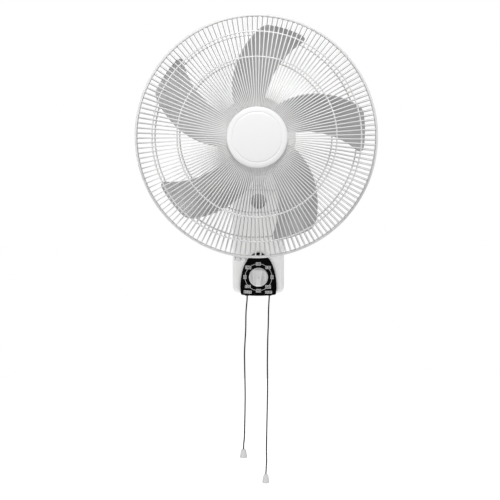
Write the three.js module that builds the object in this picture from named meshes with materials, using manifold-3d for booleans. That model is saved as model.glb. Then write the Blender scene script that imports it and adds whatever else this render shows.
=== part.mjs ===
// Wall mounted fan, 450 mm guard, with two pull cords. Millimetres, +Z up. The front faces -Y, and +X is to
// the right as seen from the front. The origin is on the wall plate's back face: the wall is the plane Y = 0.
import * as THREE from "three";
import { mergeVertices } from "three/addons/utils/BufferGeometryUtils.js";
import Module from "manifold-3d";

const wasm = await Module();
wasm.setup();

// ---------------------------------------------------------------- driving dimensions
const GAP = 0.3; // running gap between neighbouring pieces

const FAN_X = -7; // the fan's axis lies a little to the left of the swing spindle
const FAN_Z = 214; // height of the motor's and the impeller's axis above the middle of the wall plate
const GUARD_Z = 210; // height of the guards' axis: they hang a little low on the motor's boss
const RIM_Y = -280; // plane in which the two guards meet

const RIM_RADIUS = 225;
const RIM_DEPTH = 15;
const GUARD_RADIUS = 220.4; // outer ring of each guard, held inside the rim band
const OUTER_RING = { radius: 191, depth: 50 }; // where the wires bend from the side to the face
const INNER_RING = { radius: 145, depth: 64 };
const REAR_PLATE = { radius: 76, depth: 72 };
const FRONT_PLATE = { radius: 52, depth: 74 };
const SPOKES = 36; // wires of each guard in this model, about every fourth one of the real guard's 145
const WIRE = 2.6;

const BLADE_COUNT = 5;
const BLADE_RADIUS = 203;
const BLADE_Y = -268;
const BLADE_FIRST_ANGLE = -9.9; // leading tip corner of the blade on the right, from +X
const BLADE_THICKNESS = 2.6;
const HUB_RADIUS = 27;
const CAP_RADIUS = 55;

const MOTOR_RADIUS = 64;
const MOTOR_BACK = -76;
const MOTOR_SPLIT = -142;
const MOTOR_FRONT = -204;
const SHAFT_RADIUS = 4;

const HOUSING = { width: 103.6, bottom: -104.5, top: 103, back: -2.4, front: -92, corner: 13, wall: 2.6 };
const SPLIT_Y = -48; // the shells meet here, on the swing axis
const PANEL = {
  halfWidth: 36.5, top: -21.7, spring: -92, bottom: -107.2, bow: 2, corner: 4,
  back: -92.3, front: -96.6,
};
const KNOB_Z = -71.1;
const KNOB_RADIUS = 19.1;

const SWING_TOP = 109; // top of the neck's turntable
const TILT = { y: -88, z: 124, pin: 4 };
const TONGUE_HALF = 12.4;
const SWING_LIMIT = THREE.MathUtils.degToRad(40);
const CRANK_DISTANCE = 16; // from the swing axis to the crank's axis
const CRANK = { y: SPLIT_Y + CRANK_DISTANCE, throw: CRANK_DISTANCE * Math.tan(SWING_LIMIT), pin: 2.5 };

const CORD = { x: 22.4, y: -76, diameter: 2.6 };
const GLAND_MOUTH = -111;

// ---------------------------------------------------------------- solids
// A closed mesh with shared vertices and outward faces, as a solid that can be cut and joined.
function solid(geometry) {
  const bare = new THREE.BufferGeometry();
  bare.setAttribute("position", geometry.getAttribute("position").clone());
  if (geometry.index) bare.setIndex(geometry.index.clone());
  const merged = mergeVertices(bare, 1e-4);
  const corners = [];
  const index = merged.index.array;
  for (let i = 0; i < index.length; i += 3) {
    const [a, b, c] = [index[i], index[i + 1], index[i + 2]];
    if (a !== b && b !== c && c !== a) corners.push(a, b, c);
  }
  const vertProperties = new Float32Array(merged.attributes.position.array);
  const make = (order) => new wasm.Manifold(new wasm.Mesh({ numProp: 3, vertProperties, triVerts: order }));
  const first = make(new Uint32Array(corners));
  if (first.volume() > 0) return first;
  for (let i = 0; i < corners.length; i += 3) {
    [corners[i + 1], corners[i + 2]] = [corners[i + 2], corners[i + 1]];
  }
  return make(new Uint32Array(corners));
}

function join(...pieces) {
  return pieces.reduce((whole, piece) => whole.add(piece));
}

function cut(whole, ...tools) {
  return tools.reduce((left, tool) => left.subtract(tool), whole);
}

function box(x0, x1, y0, y1, z0, z1) {
  const geometry = new THREE.BoxGeometry(x1 - x0, y1 - y0, z1 - z0);
  return solid(geometry.translate((x0 + x1) / 2, (y0 + y1) / 2, (z0 + z1) / 2));
}

// A turned piece on the fan's axis: the profile is a closed list of [radius, y].
function turnedY(profile, segments, x = FAN_X, z = FAN_Z) {
  const points = [...profile, profile[0]].map(([r, y]) => new THREE.Vector2(r, y));
  return solid(new THREE.LatheGeometry(points, segments).translate(x, 0, z));
}

// A turned piece on an upright axis: the profile is a closed list of [radius, z].
function turnedZ(profile, segments, x = 0, y = SPLIT_Y) {
  const points = [...profile, profile[0]].map(([r, z]) => new THREE.Vector2(r, z));
  return solid(new THREE.LatheGeometry(points, segments).rotateX(Math.PI / 2).translate(x, y, 0));
}

// A turned piece on an axis along X: the profile is a closed list of [radius, x].
function turnedX(profile, segments, y, z) {
  const points = [...profile, profile[0]].map(([r, x]) => new THREE.Vector2(r, x));
  return solid(new THREE.LatheGeometry(points, segments).rotateZ(-Math.PI / 2).translate(0, y, z));
}

const rodY = (radius, y0, y1, x, z, segments = 16) =>
  turnedY([[0, y0], [radius, y0], [radius, y1], [0, y1]], segments, x, z);
const rodZ = (radius, z0, z1, x, y, segments = 16) =>
  turnedZ([[0, z0], [radius, z0], [radius, z1], [0, z1]], segments, x, y);
const rodX = (radius, x0, x1, y, z, segments = 16) =>
  turnedX([[0, x0], [radius, x0], [radius, x1], [0, x1]], segments, y, z);

// An outline drawn in X and Z, given a thickness along Y from y0 (nearer the wall) to y1 (nearer the viewer).
function plateY(shape, y0, y1, curveSegments = 6) {
  const geometry = new THREE.ExtrudeGeometry(shape, { depth: y0 - y1, bevelEnabled: false, curveSegments });
  return solid(geometry.rotateX(Math.PI / 2).translate(0, y0, 0));
}

// An outline drawn in Y and Z, given a thickness along X.
function plateX(shape, x0, x1, curveSegments = 8) {
  const geometry = new THREE.ExtrudeGeometry(shape, { depth: x1 - x0, bevelEnabled: false, curveSegments });
  const toYZ = new THREE.Matrix4().makeBasis(
    new THREE.Vector3(0, 1, 0), new THREE.Vector3(0, 0, 1), new THREE.Vector3(1, 0, 0));
  return solid(geometry.applyMatrix4(toYZ).translate(x0, 0, 0));
}

function roundedRectangle(x0, x1, z0, z1, radius) {
  const shape = new THREE.Shape();
  shape.absarc(x1 - radius, z1 - radius, radius, 0, Math.PI / 2);
  shape.absarc(x0 + radius, z1 - radius, radius, Math.PI / 2, Math.PI);
  shape.absarc(x0 + radius, z0 + radius, radius, Math.PI, Math.PI * 1.5);
  shape.absarc(x1 - radius, z0 + radius, radius, Math.PI * 1.5, Math.PI * 2);
  shape.closePath();
  return shape;
}

// ---------------------------------------------------------------- the assembly
const fan = new THREE.Group();
fan.name = "wall_fan";

const FINISHES = {
  whitePlastic: { color: "#dcdcda", roughness: 0.45, metalness: 0 },
  whiteWire: { color: "#ececea", roughness: 0.4, metalness: 0 },
  greyBlade: { color: "#a8a8a6", roughness: 0.35, metalness: 0 },
  blackGloss: { color: "#0a0a0a", roughness: 0.12, metalness: 0 },
  knobGrey: { color: "#c8c8c8", roughness: 0.4, metalness: 0 },
  cordBlack: { color: "#222222", roughness: 0.8, metalness: 0 },
  steel: { color: "#a9acb0", roughness: 0.35, metalness: 1 },
  castMetal: { color: "#c9c9c7", roughness: 0.5, metalness: 0.2 },
  copper: { color: "#a85a2c", roughness: 0.4, metalness: 1 },
  darkPlastic: { color: "#3a3a3c", roughness: 0.6, metalness: 0 },
  nylon: { color: "#eae6da", roughness: 0.5, metalness: 0 },
};

function add(name, piece, finish) {
  const mesh = piece.getMesh();
  const geometry = new THREE.BufferGeometry();
  geometry.setAttribute("position", new THREE.BufferAttribute(new Float32Array(mesh.vertProperties), 3));
  geometry.setIndex(new THREE.BufferAttribute(new Uint32Array(mesh.triVerts), 1));
  geometry.computeVertexNormals();
  const part = new THREE.Mesh(geometry, new THREE.MeshStandardMaterial(FINISHES[finish]));
  part.name = name;
  fan.add(part);
}

// ---------------------------------------------------------------- wall plate
// Pressed steel plate with three screw slots and two hooks that carry the housing.
const PLATE = { halfWidth: 40, halfHeight: 76, thickness: 2 };
const HOOK = { x: 24, z: 34, width: 12, rise: 10, reach: 7.4 };

function wallPlate() {
  const outline = roundedRectangle(-PLATE.halfWidth, PLATE.halfWidth, -PLATE.halfHeight, PLATE.halfHeight, 6);
  for (const [x, z] of [[-24, 62], [24, 62], [0, -62]]) {
    const slot = new THREE.Path();
    slot.absarc(x, z + 3, 2.6, 0, Math.PI);
    slot.absarc(x, z - 3, 2.6, Math.PI, Math.PI * 2);
    slot.closePath();
    outline.holes.push(slot);
  }
  const hooks = [-HOOK.x, HOOK.x].map((x) => {
    const [x0, x1] = [x - HOOK.width / 2, x + HOOK.width / 2];
    return join(
      box(x0, x1, -HOOK.reach, -PLATE.thickness / 2, HOOK.z, HOOK.z + 2),
      box(x0, x1, -HOOK.reach, -HOOK.reach + 2, HOOK.z, HOOK.z + HOOK.rise));
  });
  return join(plateY(outline, 0, -PLATE.thickness, 3), ...hooks);
}

add("wall_plate", wallPlate(), "steel");

// ---------------------------------------------------------------- base housing
// Two moulded shells that meet on the swing axis. Both have the same outline from the front, with soft corners.
function housingBlock(inset, frontRound, backRound) {
  const { width, bottom, top, corner } = HOUSING;
  const half = width / 2 - inset;
  const body = (y0, y1, round) => {
    const outline = roundedRectangle(
      -half + round, half - round, bottom + inset + round, top - inset - round, Math.max(corner - round, 1));
    const geometry = new THREE.ExtrudeGeometry(outline, {
      depth: y0 - y1 - 2 * round, bevelEnabled: true, bevelSize: round, bevelThickness: round,
      bevelSegments: 2, curveSegments: 2,
    });
    return solid(geometry.rotateX(Math.PI / 2).translate(0, y0 - round, 0));
  };
  const front = HOUSING.front + inset;
  const back = HOUSING.back - inset;
  const overlap = 40; // each block runs on past the split, where the other one takes over
  const reach = 200;
  const ahead = body(SPLIT_Y + overlap, front, frontRound);
  const behind = body(back, SPLIT_Y - overlap, backRound);
  return {
    front: ahead.intersect(box(-reach, reach, front - 1, SPLIT_Y, -reach, reach)),
    back: behind.intersect(box(-reach, reach, SPLIT_Y, back + 1, -reach, reach)),
  };
}

// Outline of the control panel: half an ellipse, short straight sides and a bottom edge that bows down a little.
function panelOutline(inset) {
  const { top, spring, bottom, bow, corner } = PANEL;
  const half = PANEL.halfWidth - inset;
  const low = bottom + inset;
  const steps = 20;
  const outline = new THREE.Shape();
  outline.moveTo(half, spring);
  for (let i = 1; i < steps; i++) {
    const angle = (Math.PI * i) / steps;
    outline.lineTo(half * Math.cos(angle), spring + (top - inset - spring) * Math.sin(angle));
  }
  outline.lineTo(-half, spring);
  outline.lineTo(-half + 1, low + corner);
  outline.quadraticCurveTo(-half + 1.5, low, -half + 1 + corner, low);
  outline.quadraticCurveTo(0, low - 2 * bow, half - 1 - corner, low);
  outline.quadraticCurveTo(half - 1.5, low, half - 1, low + corner);
  outline.closePath();
  return outline;
}

const NECK_HOLE = 17;
const PLUG = { z: 81, hole: 13.6, flange: 15, face: HOUSING.front - 2, spigot: HOUSING.front + 6 };

const outer = housingBlock(0, 9, 3);
const inner = housingBlock(HOUSING.wall, 7, 1.5);
const neckHole = rodZ(NECK_HOLE, 90, 110, 0, SPLIT_Y, 24);
const GLAND_HOLE = 3.6;
const glandHoles = [-CORD.x, CORD.x].map((x) => rodZ(GLAND_HOLE, -112, -95, x, CORD.y, 16));
const spindleHole = rodY(6, -100, -85, 0, KNOB_Z, 16);
const plugHole = rodY(PLUG.hole, -100, -85, 0, PLUG.z, 28);
const INLET = { x: 30, y: -26, hole: 6 };
const inletHole = rodZ(INLET.hole, -110, -95, INLET.x, INLET.y, 16);
const SCREW_SPOTS = [[-42, 84], [42, 84], [-42, -86], [42, -86]];
const POST = { radius: 4.5, screw: 2 };

// The front shell carries the panel on a chin of the panel's own outline, and posts for the housing screws.
const CHIN = { inset: 1, back: -64 };

function frontShell() {
  const chin = plateY(panelOutline(CHIN.inset), CHIN.back, HOUSING.front, 4);
  const posts = SCREW_SPOTS.map(([x, z]) => rodY(POST.radius, SPLIT_Y, -90.2, x, z, 12));
  const bores = SCREW_SPOTS.map(([x, z]) => rodY(POST.screw + GAP, SPLIT_Y + 1, -72, x, z, 10));
  const shell = join(cut(outer.front.add(chin), inner.front), ...posts);
  return cut(shell, ...bores, plugHole, neckHole, ...glandHoles, spindleHole);
}

// The back shell hangs on the hooks, and its screws go in from behind through four sunk tubes.
function backShell() {
  const tubes = SCREW_SPOTS.map(([x, z]) => rodY(POST.radius, HOUSING.back, SPLIT_Y, x, z, 12));
  const holes = SCREW_SPOTS.map(([x, z]) => rodY(POST.screw + GAP, 0, SPLIT_Y - 1, x, z, 10));
  const sinks = SCREW_SPOTS.map(([x, z]) => rodY(3.6, 0, -32, x, z, 12));
  const slots = [-HOOK.x, HOOK.x].map((x) =>
    box(x - HOOK.width / 2 - 1, x + HOOK.width / 2 + 1, -6, 0, HOOK.z - 2, HOOK.z + HOOK.rise + 2));
  const shell = join(cut(outer.back, inner.back), ...tubes);
  const seam = box(-60, 60, SPLIT_Y - 1, SPLIT_Y + GAP, -120, 120);
  return cut(shell, ...holes, ...sinks, ...slots, neckHole, inletHole, seam);
}

add("housing_front", frontShell(), "whitePlastic");
add("housing_back", backShell(), "whitePlastic");

// Round black plug, pressed into the access hole in front of the swing arm. Its face is dished.
const accessPlug = turnedY(
  [[0, PLUG.face + 0.8], [PLUG.flange - 3, PLUG.face + 0.8], [PLUG.flange - 2, PLUG.face],
    [PLUG.flange - 0.6, PLUG.face], [PLUG.flange, PLUG.face + 0.6], [PLUG.flange, HOUSING.front - GAP],
    [PLUG.hole - GAP, HOUSING.front - GAP], [PLUG.hole - GAP, PLUG.spigot], [PLUG.hole - 1.8, PLUG.spigot],
    [PLUG.hole - 1.8, HOUSING.front + 0.6], [0, HOUSING.front + 0.6]], 28, 0, PLUG.z);
add("access_plug", accessPlug, "darkPlastic");

const SCREW = { head: 3.2, seat: -32 + GAP, tip: -68 };

SCREW_SPOTS.forEach(([x, z], i) => {
  const profile = [
    [0, SCREW.seat + 2.4], [SCREW.head, SCREW.seat + 1.8], [SCREW.head, SCREW.seat], [POST.screw, SCREW.seat],
    [POST.screw, SCREW.tip + 2], [0, SCREW.tip]];
  add(`housing_screw_${i + 1}`, turnedY(profile, 10, x, z), "steel");
});

// ---------------------------------------------------------------- control panel and timer
const panelHole = rodY(6, -100, -85, 0, KNOB_Z, 16);
const panelPlate = plateY(panelOutline(0), PANEL.back, PANEL.front, 5);
add("control_panel", panelPlate.subtract(panelHole), "blackGloss");

// Round knob with a skirt. Two finger scoops leave a bridge that is wide at the top and narrow at the bottom.
const KNOB = { back: PANEL.front - 0.6, depth: 15, skirt: 2.4, socket: 7 };

function timerKnob() {
  const face = KNOB.back - KNOB.depth;
  const body = turnedY(
    [[0, KNOB.back], [KNOB_RADIUS, KNOB.back], [KNOB_RADIUS, KNOB.back - KNOB.skirt],
      [KNOB_RADIUS - 1.4, KNOB.back - 3.2], [KNOB_RADIUS - 2.6, face + 1.2], [KNOB_RADIUS - 3.8, face],
      [0, face]],
    24, 0, KNOB_Z);
  const scoops = [-1, 1].map((side) => {
    const scoop = new THREE.SphereGeometry(1, 12, 6).scale(10, 11, 22);
    const lean = THREE.MathUtils.degToRad(side * 9);
    return solid(scoop.rotateY(lean).translate(side * 12.6, face, KNOB_Z));
  });
  const socket = rodY(TIMER.spindle + 0.1, KNOB.back + 1, KNOB.back - KNOB.socket, 0, KNOB_Z, 12);
  return cut(body, ...scoops, socket);
}

const TIMER = { back: -52, front: -89.1, halfWidth: 15, halfHeight: 20, spindle: 3.4, socketBack: -69 };

function timerUnit() {
  const outline = roundedRectangle(
    -TIMER.halfWidth, TIMER.halfWidth, KNOB_Z - TIMER.halfHeight, KNOB_Z + TIMER.halfHeight, 3);
  const socket = rodY(TIMER.spindle + GAP, TIMER.socketBack, -95, 0, KNOB_Z, 12);
  return plateY(outline, TIMER.back, TIMER.front, 3).subtract(socket);
}

add("timer_unit", timerUnit(), "darkPlastic");
add("timer_knob", timerKnob(), "knobGrey");
add("timer_spindle",
  rodY(TIMER.spindle - 0.2, TIMER.socketBack - 1, KNOB.back - KNOB.socket + GAP, 0, KNOB_Z, 12), "steel");

// ---------------------------------------------------------------- pull switches, cords and bells
// A switch stands on each side of the timer. Its plunger runs down through it, on a spring that stands on the
// switch's floor, and the cord hangs from the plunger, through a gland in the bottom of the housing.
const SWITCH = { half: 7, back: -66, front: -86, floor: -78, top: -36, bore: 5, wall: 2 };
const PLUNGER = { head: 4.6, top: -42, underside: -46, stem: 1.8, bottom: -80 };
const GLAND = { flange: 4.6, flangeTop: -108.1, neck: 3.3, top: -98, bore: 1.9 };
const CORD_TOP = PLUNGER.bottom - GAP;

// Route points of each cord, from its plunger down to its bell, as [x, z] in the plane of the glands.
const CORD_ROUTES = {
  speed: [
    [-22.4, CORD_TOP], [-22.4, -96], [-22.4, -112], [-22.9, -122], [-24.1, -135], [-24.9, -148],
    [-25.2, -165], [-25.5, -182], [-26.3, -196], [-27.3, -214], [-27.9, -231], [-27.7, -247], [-27.4, -267],
    [-26.9, -290], [-26.6, -315], [-26.8, -340], [-27.3, -365], [-27.8, -386], [-28.2, -401], [-28.9, -410],
    [-29.8, -419], [-29.9, -426.6],
  ],
  swing: [
    [22.4, CORD_TOP], [22.4, -96], [22.4, -112], [21.7, -123], [20.9, -140], [20.6, -158], [20.1, -178],
    [19.4, -196], [19.0, -214], [18.8, -232], [18.6, -251], [18.8, -270], [19.1, -288], [18.9, -320],
    [18.3, -350], [17.7, -380], [17.2, -404], [16.9, -424], [17.0, -440], [17.2, -452], [16.6, -464],
    [15.8, -479.1],
  ],
};

function cordTube(points) {
  const route = new THREE.CatmullRomCurve3(points.map(([x, z]) => new THREE.Vector3(x, CORD.y, z)));
  const sides = 8;
  const section = new THREE.Shape();
  for (let i = 0; i < sides; i++) {
    const angle = (2 * Math.PI * (i + 0.5)) / sides;
    const point = [Math.cos(angle), Math.sin(angle)].map((v) => (v * CORD.diameter) / 2);
    if (i === 0) section.moveTo(...point);
    else section.lineTo(...point);
  }
  section.closePath();
  const stepLength = 3 * CORD.diameter;
  const steps = Math.min(78, Math.round(route.getLength() / stepLength));
  return solid(new THREE.ExtrudeGeometry(section, { steps, extrudePath: route, curveSegments: 1 }));
}

function cordBell([x, z]) {
  const top = z - GAP;
  return turnedZ(
    [[0, top], [4.2, top], [5.0, top - 1], [5.6, top - 3.5], [6.6, top - 9], [7.4, top - 14], [7.4, top - 17],
      [6.6, top - 18.2], [0, top - 18.2]], 16, x, CORD.y);
}

for (const [name, side] of [["speed", -1], ["swing", 1]]) {
  const x = side * CORD.x;
  const chamber = rodZ(SWITCH.bore, SWITCH.floor + SWITCH.wall, SWITCH.top - SWITCH.wall, x, CORD.y, 16);
  const mouth = rodZ(PLUNGER.stem + GAP, SWITCH.floor - 1, SWITCH.floor + SWITCH.wall + 1, x, CORD.y, 16);
  const block = box(
    x - SWITCH.half, x + SWITCH.half, SWITCH.front, SWITCH.back, SWITCH.floor, SWITCH.top);
  add(`${name}_switch`, cut(block, chamber, mouth), "darkPlastic");

  const plunger = turnedZ(
    [[0, PLUNGER.top], [PLUNGER.head, PLUNGER.top], [PLUNGER.head, PLUNGER.underside],
      [PLUNGER.stem, PLUNGER.underside], [PLUNGER.stem, PLUNGER.bottom], [0, PLUNGER.bottom]], 16, x, CORD.y);
  add(`${name}_plunger`, plunger, "nylon");

  const [springLow, springHigh] = [SWITCH.floor + SWITCH.wall + GAP, PLUNGER.underside - GAP];
  const spring = turnedZ(
    [[2.4, springLow], [4.4, springLow], [4.4, springHigh], [2.4, springHigh]], 12, x, CORD.y);
  add(`${name}_spring`, spring, "steel");

  const gland = turnedZ(
    [[GLAND.bore, GLAND_MOUTH], [GLAND.flange - 0.6, GLAND_MOUTH], [GLAND.flange, GLAND_MOUTH + 0.8],
      [GLAND.flange, GLAND.flangeTop], [GLAND.neck, GLAND.flangeTop], [GLAND.neck, GLAND.top],
      [GLAND.bore, GLAND.top]], 12, x, CORD.y);
  add(`${name}_cord_gland`, gland, "darkPlastic");

  const route = CORD_ROUTES[name];
  add(`${name}_cord`, cordTube(route), "cordBlack");
  add(`${name}_bell`, cordBell(route.at(-1)), "knobGrey");
}

// ---------------------------------------------------------------- mains side
add("terminal_block", box(-18, 18, -20, -8, -30, -16), "nylon");
add("run_capacitor", box(-44, -22, -34, -10, -70, -32), "darkPlastic");
const mainsGland = turnedZ(
  [[3.4, -112], [7.6, -112], [8.4, -110.5], [8.4, -104.8], [5.7, -104.8], [5.7, -96], [3.4, -96]],
  16, INLET.x, INLET.y);
add("mains_inlet_gland", mainsGland, "darkPlastic");

// ---------------------------------------------------------------- swing drive
// The motor turns a crank whose pin runs in a slot of the arm under the neck's spindle, so the neck swings.
const SWING_MOTOR = { radius: 23, bottom: 55, top: 73, shaft: 3.5, shaftTop: 80 };
const DISC = { radius: CRANK.throw + 3.6, bottom: 74.5, top: 78.5, hub: 3.5 + GAP, pinTop: 88.6 };
const ARM = { bottom: 83, top: 88, hub: 10.5, tip: 35, halfWidth: 6, screw: 2.5 };
const pinY = CRANK.y + CRANK.throw;

const swingMotor = join(
  rodZ(SWING_MOTOR.radius, SWING_MOTOR.bottom, SWING_MOTOR.top, 0, CRANK.y, 28),
  rodZ(SWING_MOTOR.shaft, SWING_MOTOR.top - 1, SWING_MOTOR.shaftTop - 2, 0, CRANK.y, 12));
add("swing_motor", swingMotor, "steel");

const crankPin = rodZ(CRANK.pin, DISC.top - 1, DISC.pinTop, 0, pinY, 12);
const crankDisc = rodZ(DISC.radius, DISC.bottom, DISC.top, 0, CRANK.y, 24);
const crankBore = rodZ(DISC.hub, DISC.bottom - 1, DISC.top + 1, 0, CRANK.y, 12);
add("swing_crank", crankDisc.add(crankPin).subtract(crankBore), "nylon");

function swingArm() {
  const blade = join(
    rodZ(ARM.hub, ARM.bottom, ARM.top, 0, SPLIT_Y, 24),
    box(-ARM.halfWidth, ARM.halfWidth, SPLIT_Y, SPLIT_Y + ARM.tip, ARM.bottom, ARM.top));
  const slotHalf = CRANK.pin + 0.5;
  const [near, far] = [SPLIT_Y + 17.6 + slotHalf, pinY];
  const [low, high] = [ARM.bottom - 1, ARM.top + 1];
  const slot = join(
    rodZ(slotHalf, low, high, 0, near, 12), rodZ(slotHalf, low, high, 0, far, 12),
    box(-slotHalf, slotHalf, near, far, low, high));
  return cut(blade, slot, rodZ(ARM.screw + GAP, low, high, 0, SPLIT_Y, 12));
}

add("swing_arm", swingArm(), "steel");
const armScrew = turnedZ(
  [[0, 79.6], [4.4, 79.6], [4.6, 80.2], [4.6, ARM.bottom - GAP], [ARM.screw, ARM.bottom - GAP],
    [ARM.screw, 97], [0, 98]], 12);
add("swing_arm_screw", armScrew, "steel");

// ---------------------------------------------------------------- neck
const BUSH = { outer: NECK_HOLE - GAP, inner: 12.3, bottom: 97.6, top: 106.2, flange: 20 };
const neckBush = turnedZ(
  [[BUSH.inner, BUSH.bottom], [BUSH.outer, BUSH.bottom], [BUSH.outer, HOUSING.top + GAP],
    [BUSH.flange, HOUSING.top + GAP], [BUSH.flange, BUSH.top - 1.2], [BUSH.inner, BUSH.top - 1.2]], 24);
add("neck_bush", neckBush, "nylon");

// The yoke is one casting: spindle, turntable and two ears for the tilt pin.
const EAR = { inner: TONGUE_HALF + 0.9, outer: 36, round: 19, back: -40, front: -107, foot: 105.6 };

function neckYoke() {
  const turntable = turnedZ(
    [[0, ARM.top + GAP], [BUSH.inner - GAP, ARM.top + GAP], [BUSH.inner - GAP, BUSH.top - 0.9],
      [33, BUSH.top - 0.9], [41, BUSH.top], [42, SWING_TOP - 1.5], [40, SWING_TOP], [0, SWING_TOP]], 24);
  const ear = new THREE.Shape();
  ear.moveTo(EAR.back, EAR.foot);
  ear.quadraticCurveTo(EAR.back - 8, TILT.z, TILT.y + 12, TILT.z + 14.7);
  ear.absarc(TILT.y, TILT.z, EAR.round, Math.PI * 0.35, Math.PI * 1.1);
  ear.lineTo(EAR.front + 4, EAR.foot);
  ear.closePath();
  const ears = [[EAR.inner, EAR.outer], [-EAR.outer, -EAR.inner]].map(([x0, x1]) => plateX(ear, x0, x1, 6));
  const shelf = box(-EAR.outer + 1, EAR.outer - 1, EAR.front + 6, SPLIT_Y, EAR.foot, SWING_TOP);
  return cut(
    join(turntable, shelf, ...ears), rodX(TILT.pin + GAP, -60, 60, TILT.y, TILT.z, 16),
    rodZ(ARM.screw + GAP, ARM.top - 1, 99, 0, SPLIT_Y, 12));
}

add("neck_yoke", neckYoke(), "whitePlastic");

const PIN_END = 46;
const tiltPin = turnedX(
  [[0, -41], [6.5, -41], [7, -40.4], [7, -36.4], [TILT.pin, -36.4], [TILT.pin, PIN_END], [0, PIN_END]],
  16, TILT.y, TILT.z);
add("tilt_pin", tiltPin, "steel");

// Lobed knob on the pin's right end: turned by hand to clamp the ears on the tongue.
const TILT_KNOB = { inner: 36.4, outer: 50, radius: 11, lobe: 4 };

function tiltKnob() {
  const lobes = [0, 1, 2, 3, 4].map((i) => {
    const angle = (2 * Math.PI * i) / 5;
    const [dy, dz] = [Math.cos(angle), Math.sin(angle)].map((v) => v * (TILT_KNOB.radius - 1));
    return rodX(TILT_KNOB.lobe, TILT_KNOB.inner + 4, TILT_KNOB.outer, TILT.y + dy, TILT.z + dz, 8);
  });
  const { radius, inner, outer } = TILT_KNOB;
  const body = join(rodX(radius, inner, outer, TILT.y, TILT.z, 16), ...lobes);
  return cut(body, rodX(TILT.pin + GAP, inner - 1, PIN_END + 0.6, TILT.y, TILT.z, 16));
}

add("tilt_knob", tiltKnob(), "whitePlastic");

// ---------------------------------------------------------------- tilt bracket and motor
// The bracket's tongue stands between the ears, and its saddle is screwed to the motor's rear shell.
const TONGUE = { round: 14, back: -60, front: -138, top: 158 };
const SADDLE = { left: -36, right: 28, back: -94, front: -136, bottom: 144.4, rib: 138, ribBack: -112 };

function tiltBracket() {
  const side = new THREE.Shape();
  side.absarc(TILT.y, TILT.z, TONGUE.round, Math.PI * 0.95, Math.PI * 2.1);
  side.lineTo(TONGUE.back, TONGUE.top);
  side.lineTo(TONGUE.front, TONGUE.top);
  side.closePath();
  const { left, right, back, front, bottom, rib, ribBack } = SADDLE;
  const motorSpace = rodY(MOTOR_RADIUS + 0.5, -220, -40, FAN_X, FAN_Z, 28);
  const body = join(
    plateX(side, -TONGUE_HALF, TONGUE_HALF, 7), box(left, right, front, back, bottom, 160),
    box(left + 4, right - 4, front, ribBack, rib, 160));
  return cut(body, motorSpace, rodX(TILT.pin + GAP, -60, 60, TILT.y, TILT.z, 16));
}

add("tilt_bracket", tiltBracket(), "castMetal");

const R = MOTOR_RADIUS;
const BEARING = { outer: 9, inner: SHAFT_RADIUS + 0.25, length: 12 };
const SHELL = 2.6;
const CORE = { outer: 44, inner: 27.5, back: -129, front: -155 };

// Four ribs inside each shell reach in to the stator core and clamp it when the shells are screwed together.
function coreRibs(y0, y1) {
  const [inner, outer, halfWidth] = [CORE.outer - 4, R - 1, 3];
  const rib = box(inner, outer, Math.min(y0, y1), Math.max(y0, y1), -halfWidth, halfWidth);
  const ribs = [45, 135, 225, 315].map((angle) => rib.rotate([0, angle, 0]).translate([FAN_X, 0, FAN_Z]));
  const coreSpace = rodY(CORE.outer + GAP, CORE.back + GAP, CORE.front - GAP, FAN_X, FAN_Z, 24);
  return join(...ribs).subtract(coreSpace);
}

const rearShell = turnedY(
  [[R, MOTOR_SPLIT + GAP], [R, MOTOR_BACK - 16], [R - 6, MOTOR_BACK - 6], [R - 20, MOTOR_BACK],
    [6, MOTOR_BACK], [6, MOTOR_BACK - SHELL], [BEARING.outer + GAP, MOTOR_BACK - SHELL],
    [BEARING.outer + GAP, MOTOR_BACK - 18], [BEARING.outer + 4, MOTOR_BACK - 18],
    [BEARING.outer + 4, MOTOR_BACK - SHELL - 1.5], [R - 21, MOTOR_BACK - SHELL - 1.5],
    [R - 8, MOTOR_BACK - 8.6], [R - SHELL, MOTOR_BACK - 18], [R - SHELL, MOTOR_SPLIT + GAP]], 24);
add("motor_rear_shell", rearShell.add(coreRibs(MOTOR_SPLIT + GAP, CORE.back + 8)), "whitePlastic");

const BOSS = { radius: 17, front: -221 };
const frontShellProfile = [
  [R, MOTOR_SPLIT], [R - SHELL, MOTOR_SPLIT], [R - SHELL, MOTOR_FRONT + 12], [R - 12, MOTOR_FRONT + SHELL + 1],
  [BEARING.outer + 4, MOTOR_FRONT + SHELL + 1], [BEARING.outer + 4, MOTOR_FRONT + 8],
  [BEARING.outer + GAP, MOTOR_FRONT + 8], [BEARING.outer + GAP, BOSS.front + 3], [6, BOSS.front + 3],
  [6, BOSS.front], [BOSS.radius, BOSS.front], [BOSS.radius, MOTOR_FRONT], [R - 14, MOTOR_FRONT],
  [R - 4, MOTOR_FRONT + 4], [R, MOTOR_FRONT + 14]];
const motorFront = turnedY(frontShellProfile, 24).add(coreRibs(MOTOR_SPLIT, CORE.front - 8));
add("motor_front_shell", motorFront, "castMetal");

const ring = (inner, outer, y0, y1, segments) =>
  turnedY([[inner, y0], [outer, y0], [outer, y1], [inner, y1]], segments);
add("stator_core", ring(CORE.inner, CORE.outer, CORE.back, CORE.front, 20), "steel");

const winding = (y0, y1) => {
  const [low, high] = [Math.min(y0, y1), Math.max(y0, y1)];
  return turnedY(
    [[29, low], [37, low], [39, low + 3], [39, high - 3], [37, high], [29, high]], 20);
};
add("winding_rear", winding(CORE.back + GAP, CORE.back + 14), "copper");
add("winding_front", winding(CORE.front - GAP, CORE.front - 14), "copper");
add("rotor", ring(SHAFT_RADIUS + GAP, CORE.inner - 0.5, CORE.back + 1, CORE.front - 1, 20), "steel");

const bearing = (y) => ring(BEARING.inner, BEARING.outer, y, y - BEARING.length, 12);
add("rear_bearing", bearing(MOTOR_BACK - SHELL - GAP), "steel");
add("front_bearing", bearing(BOSS.front + 3 + GAP + BEARING.length), "steel");

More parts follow.
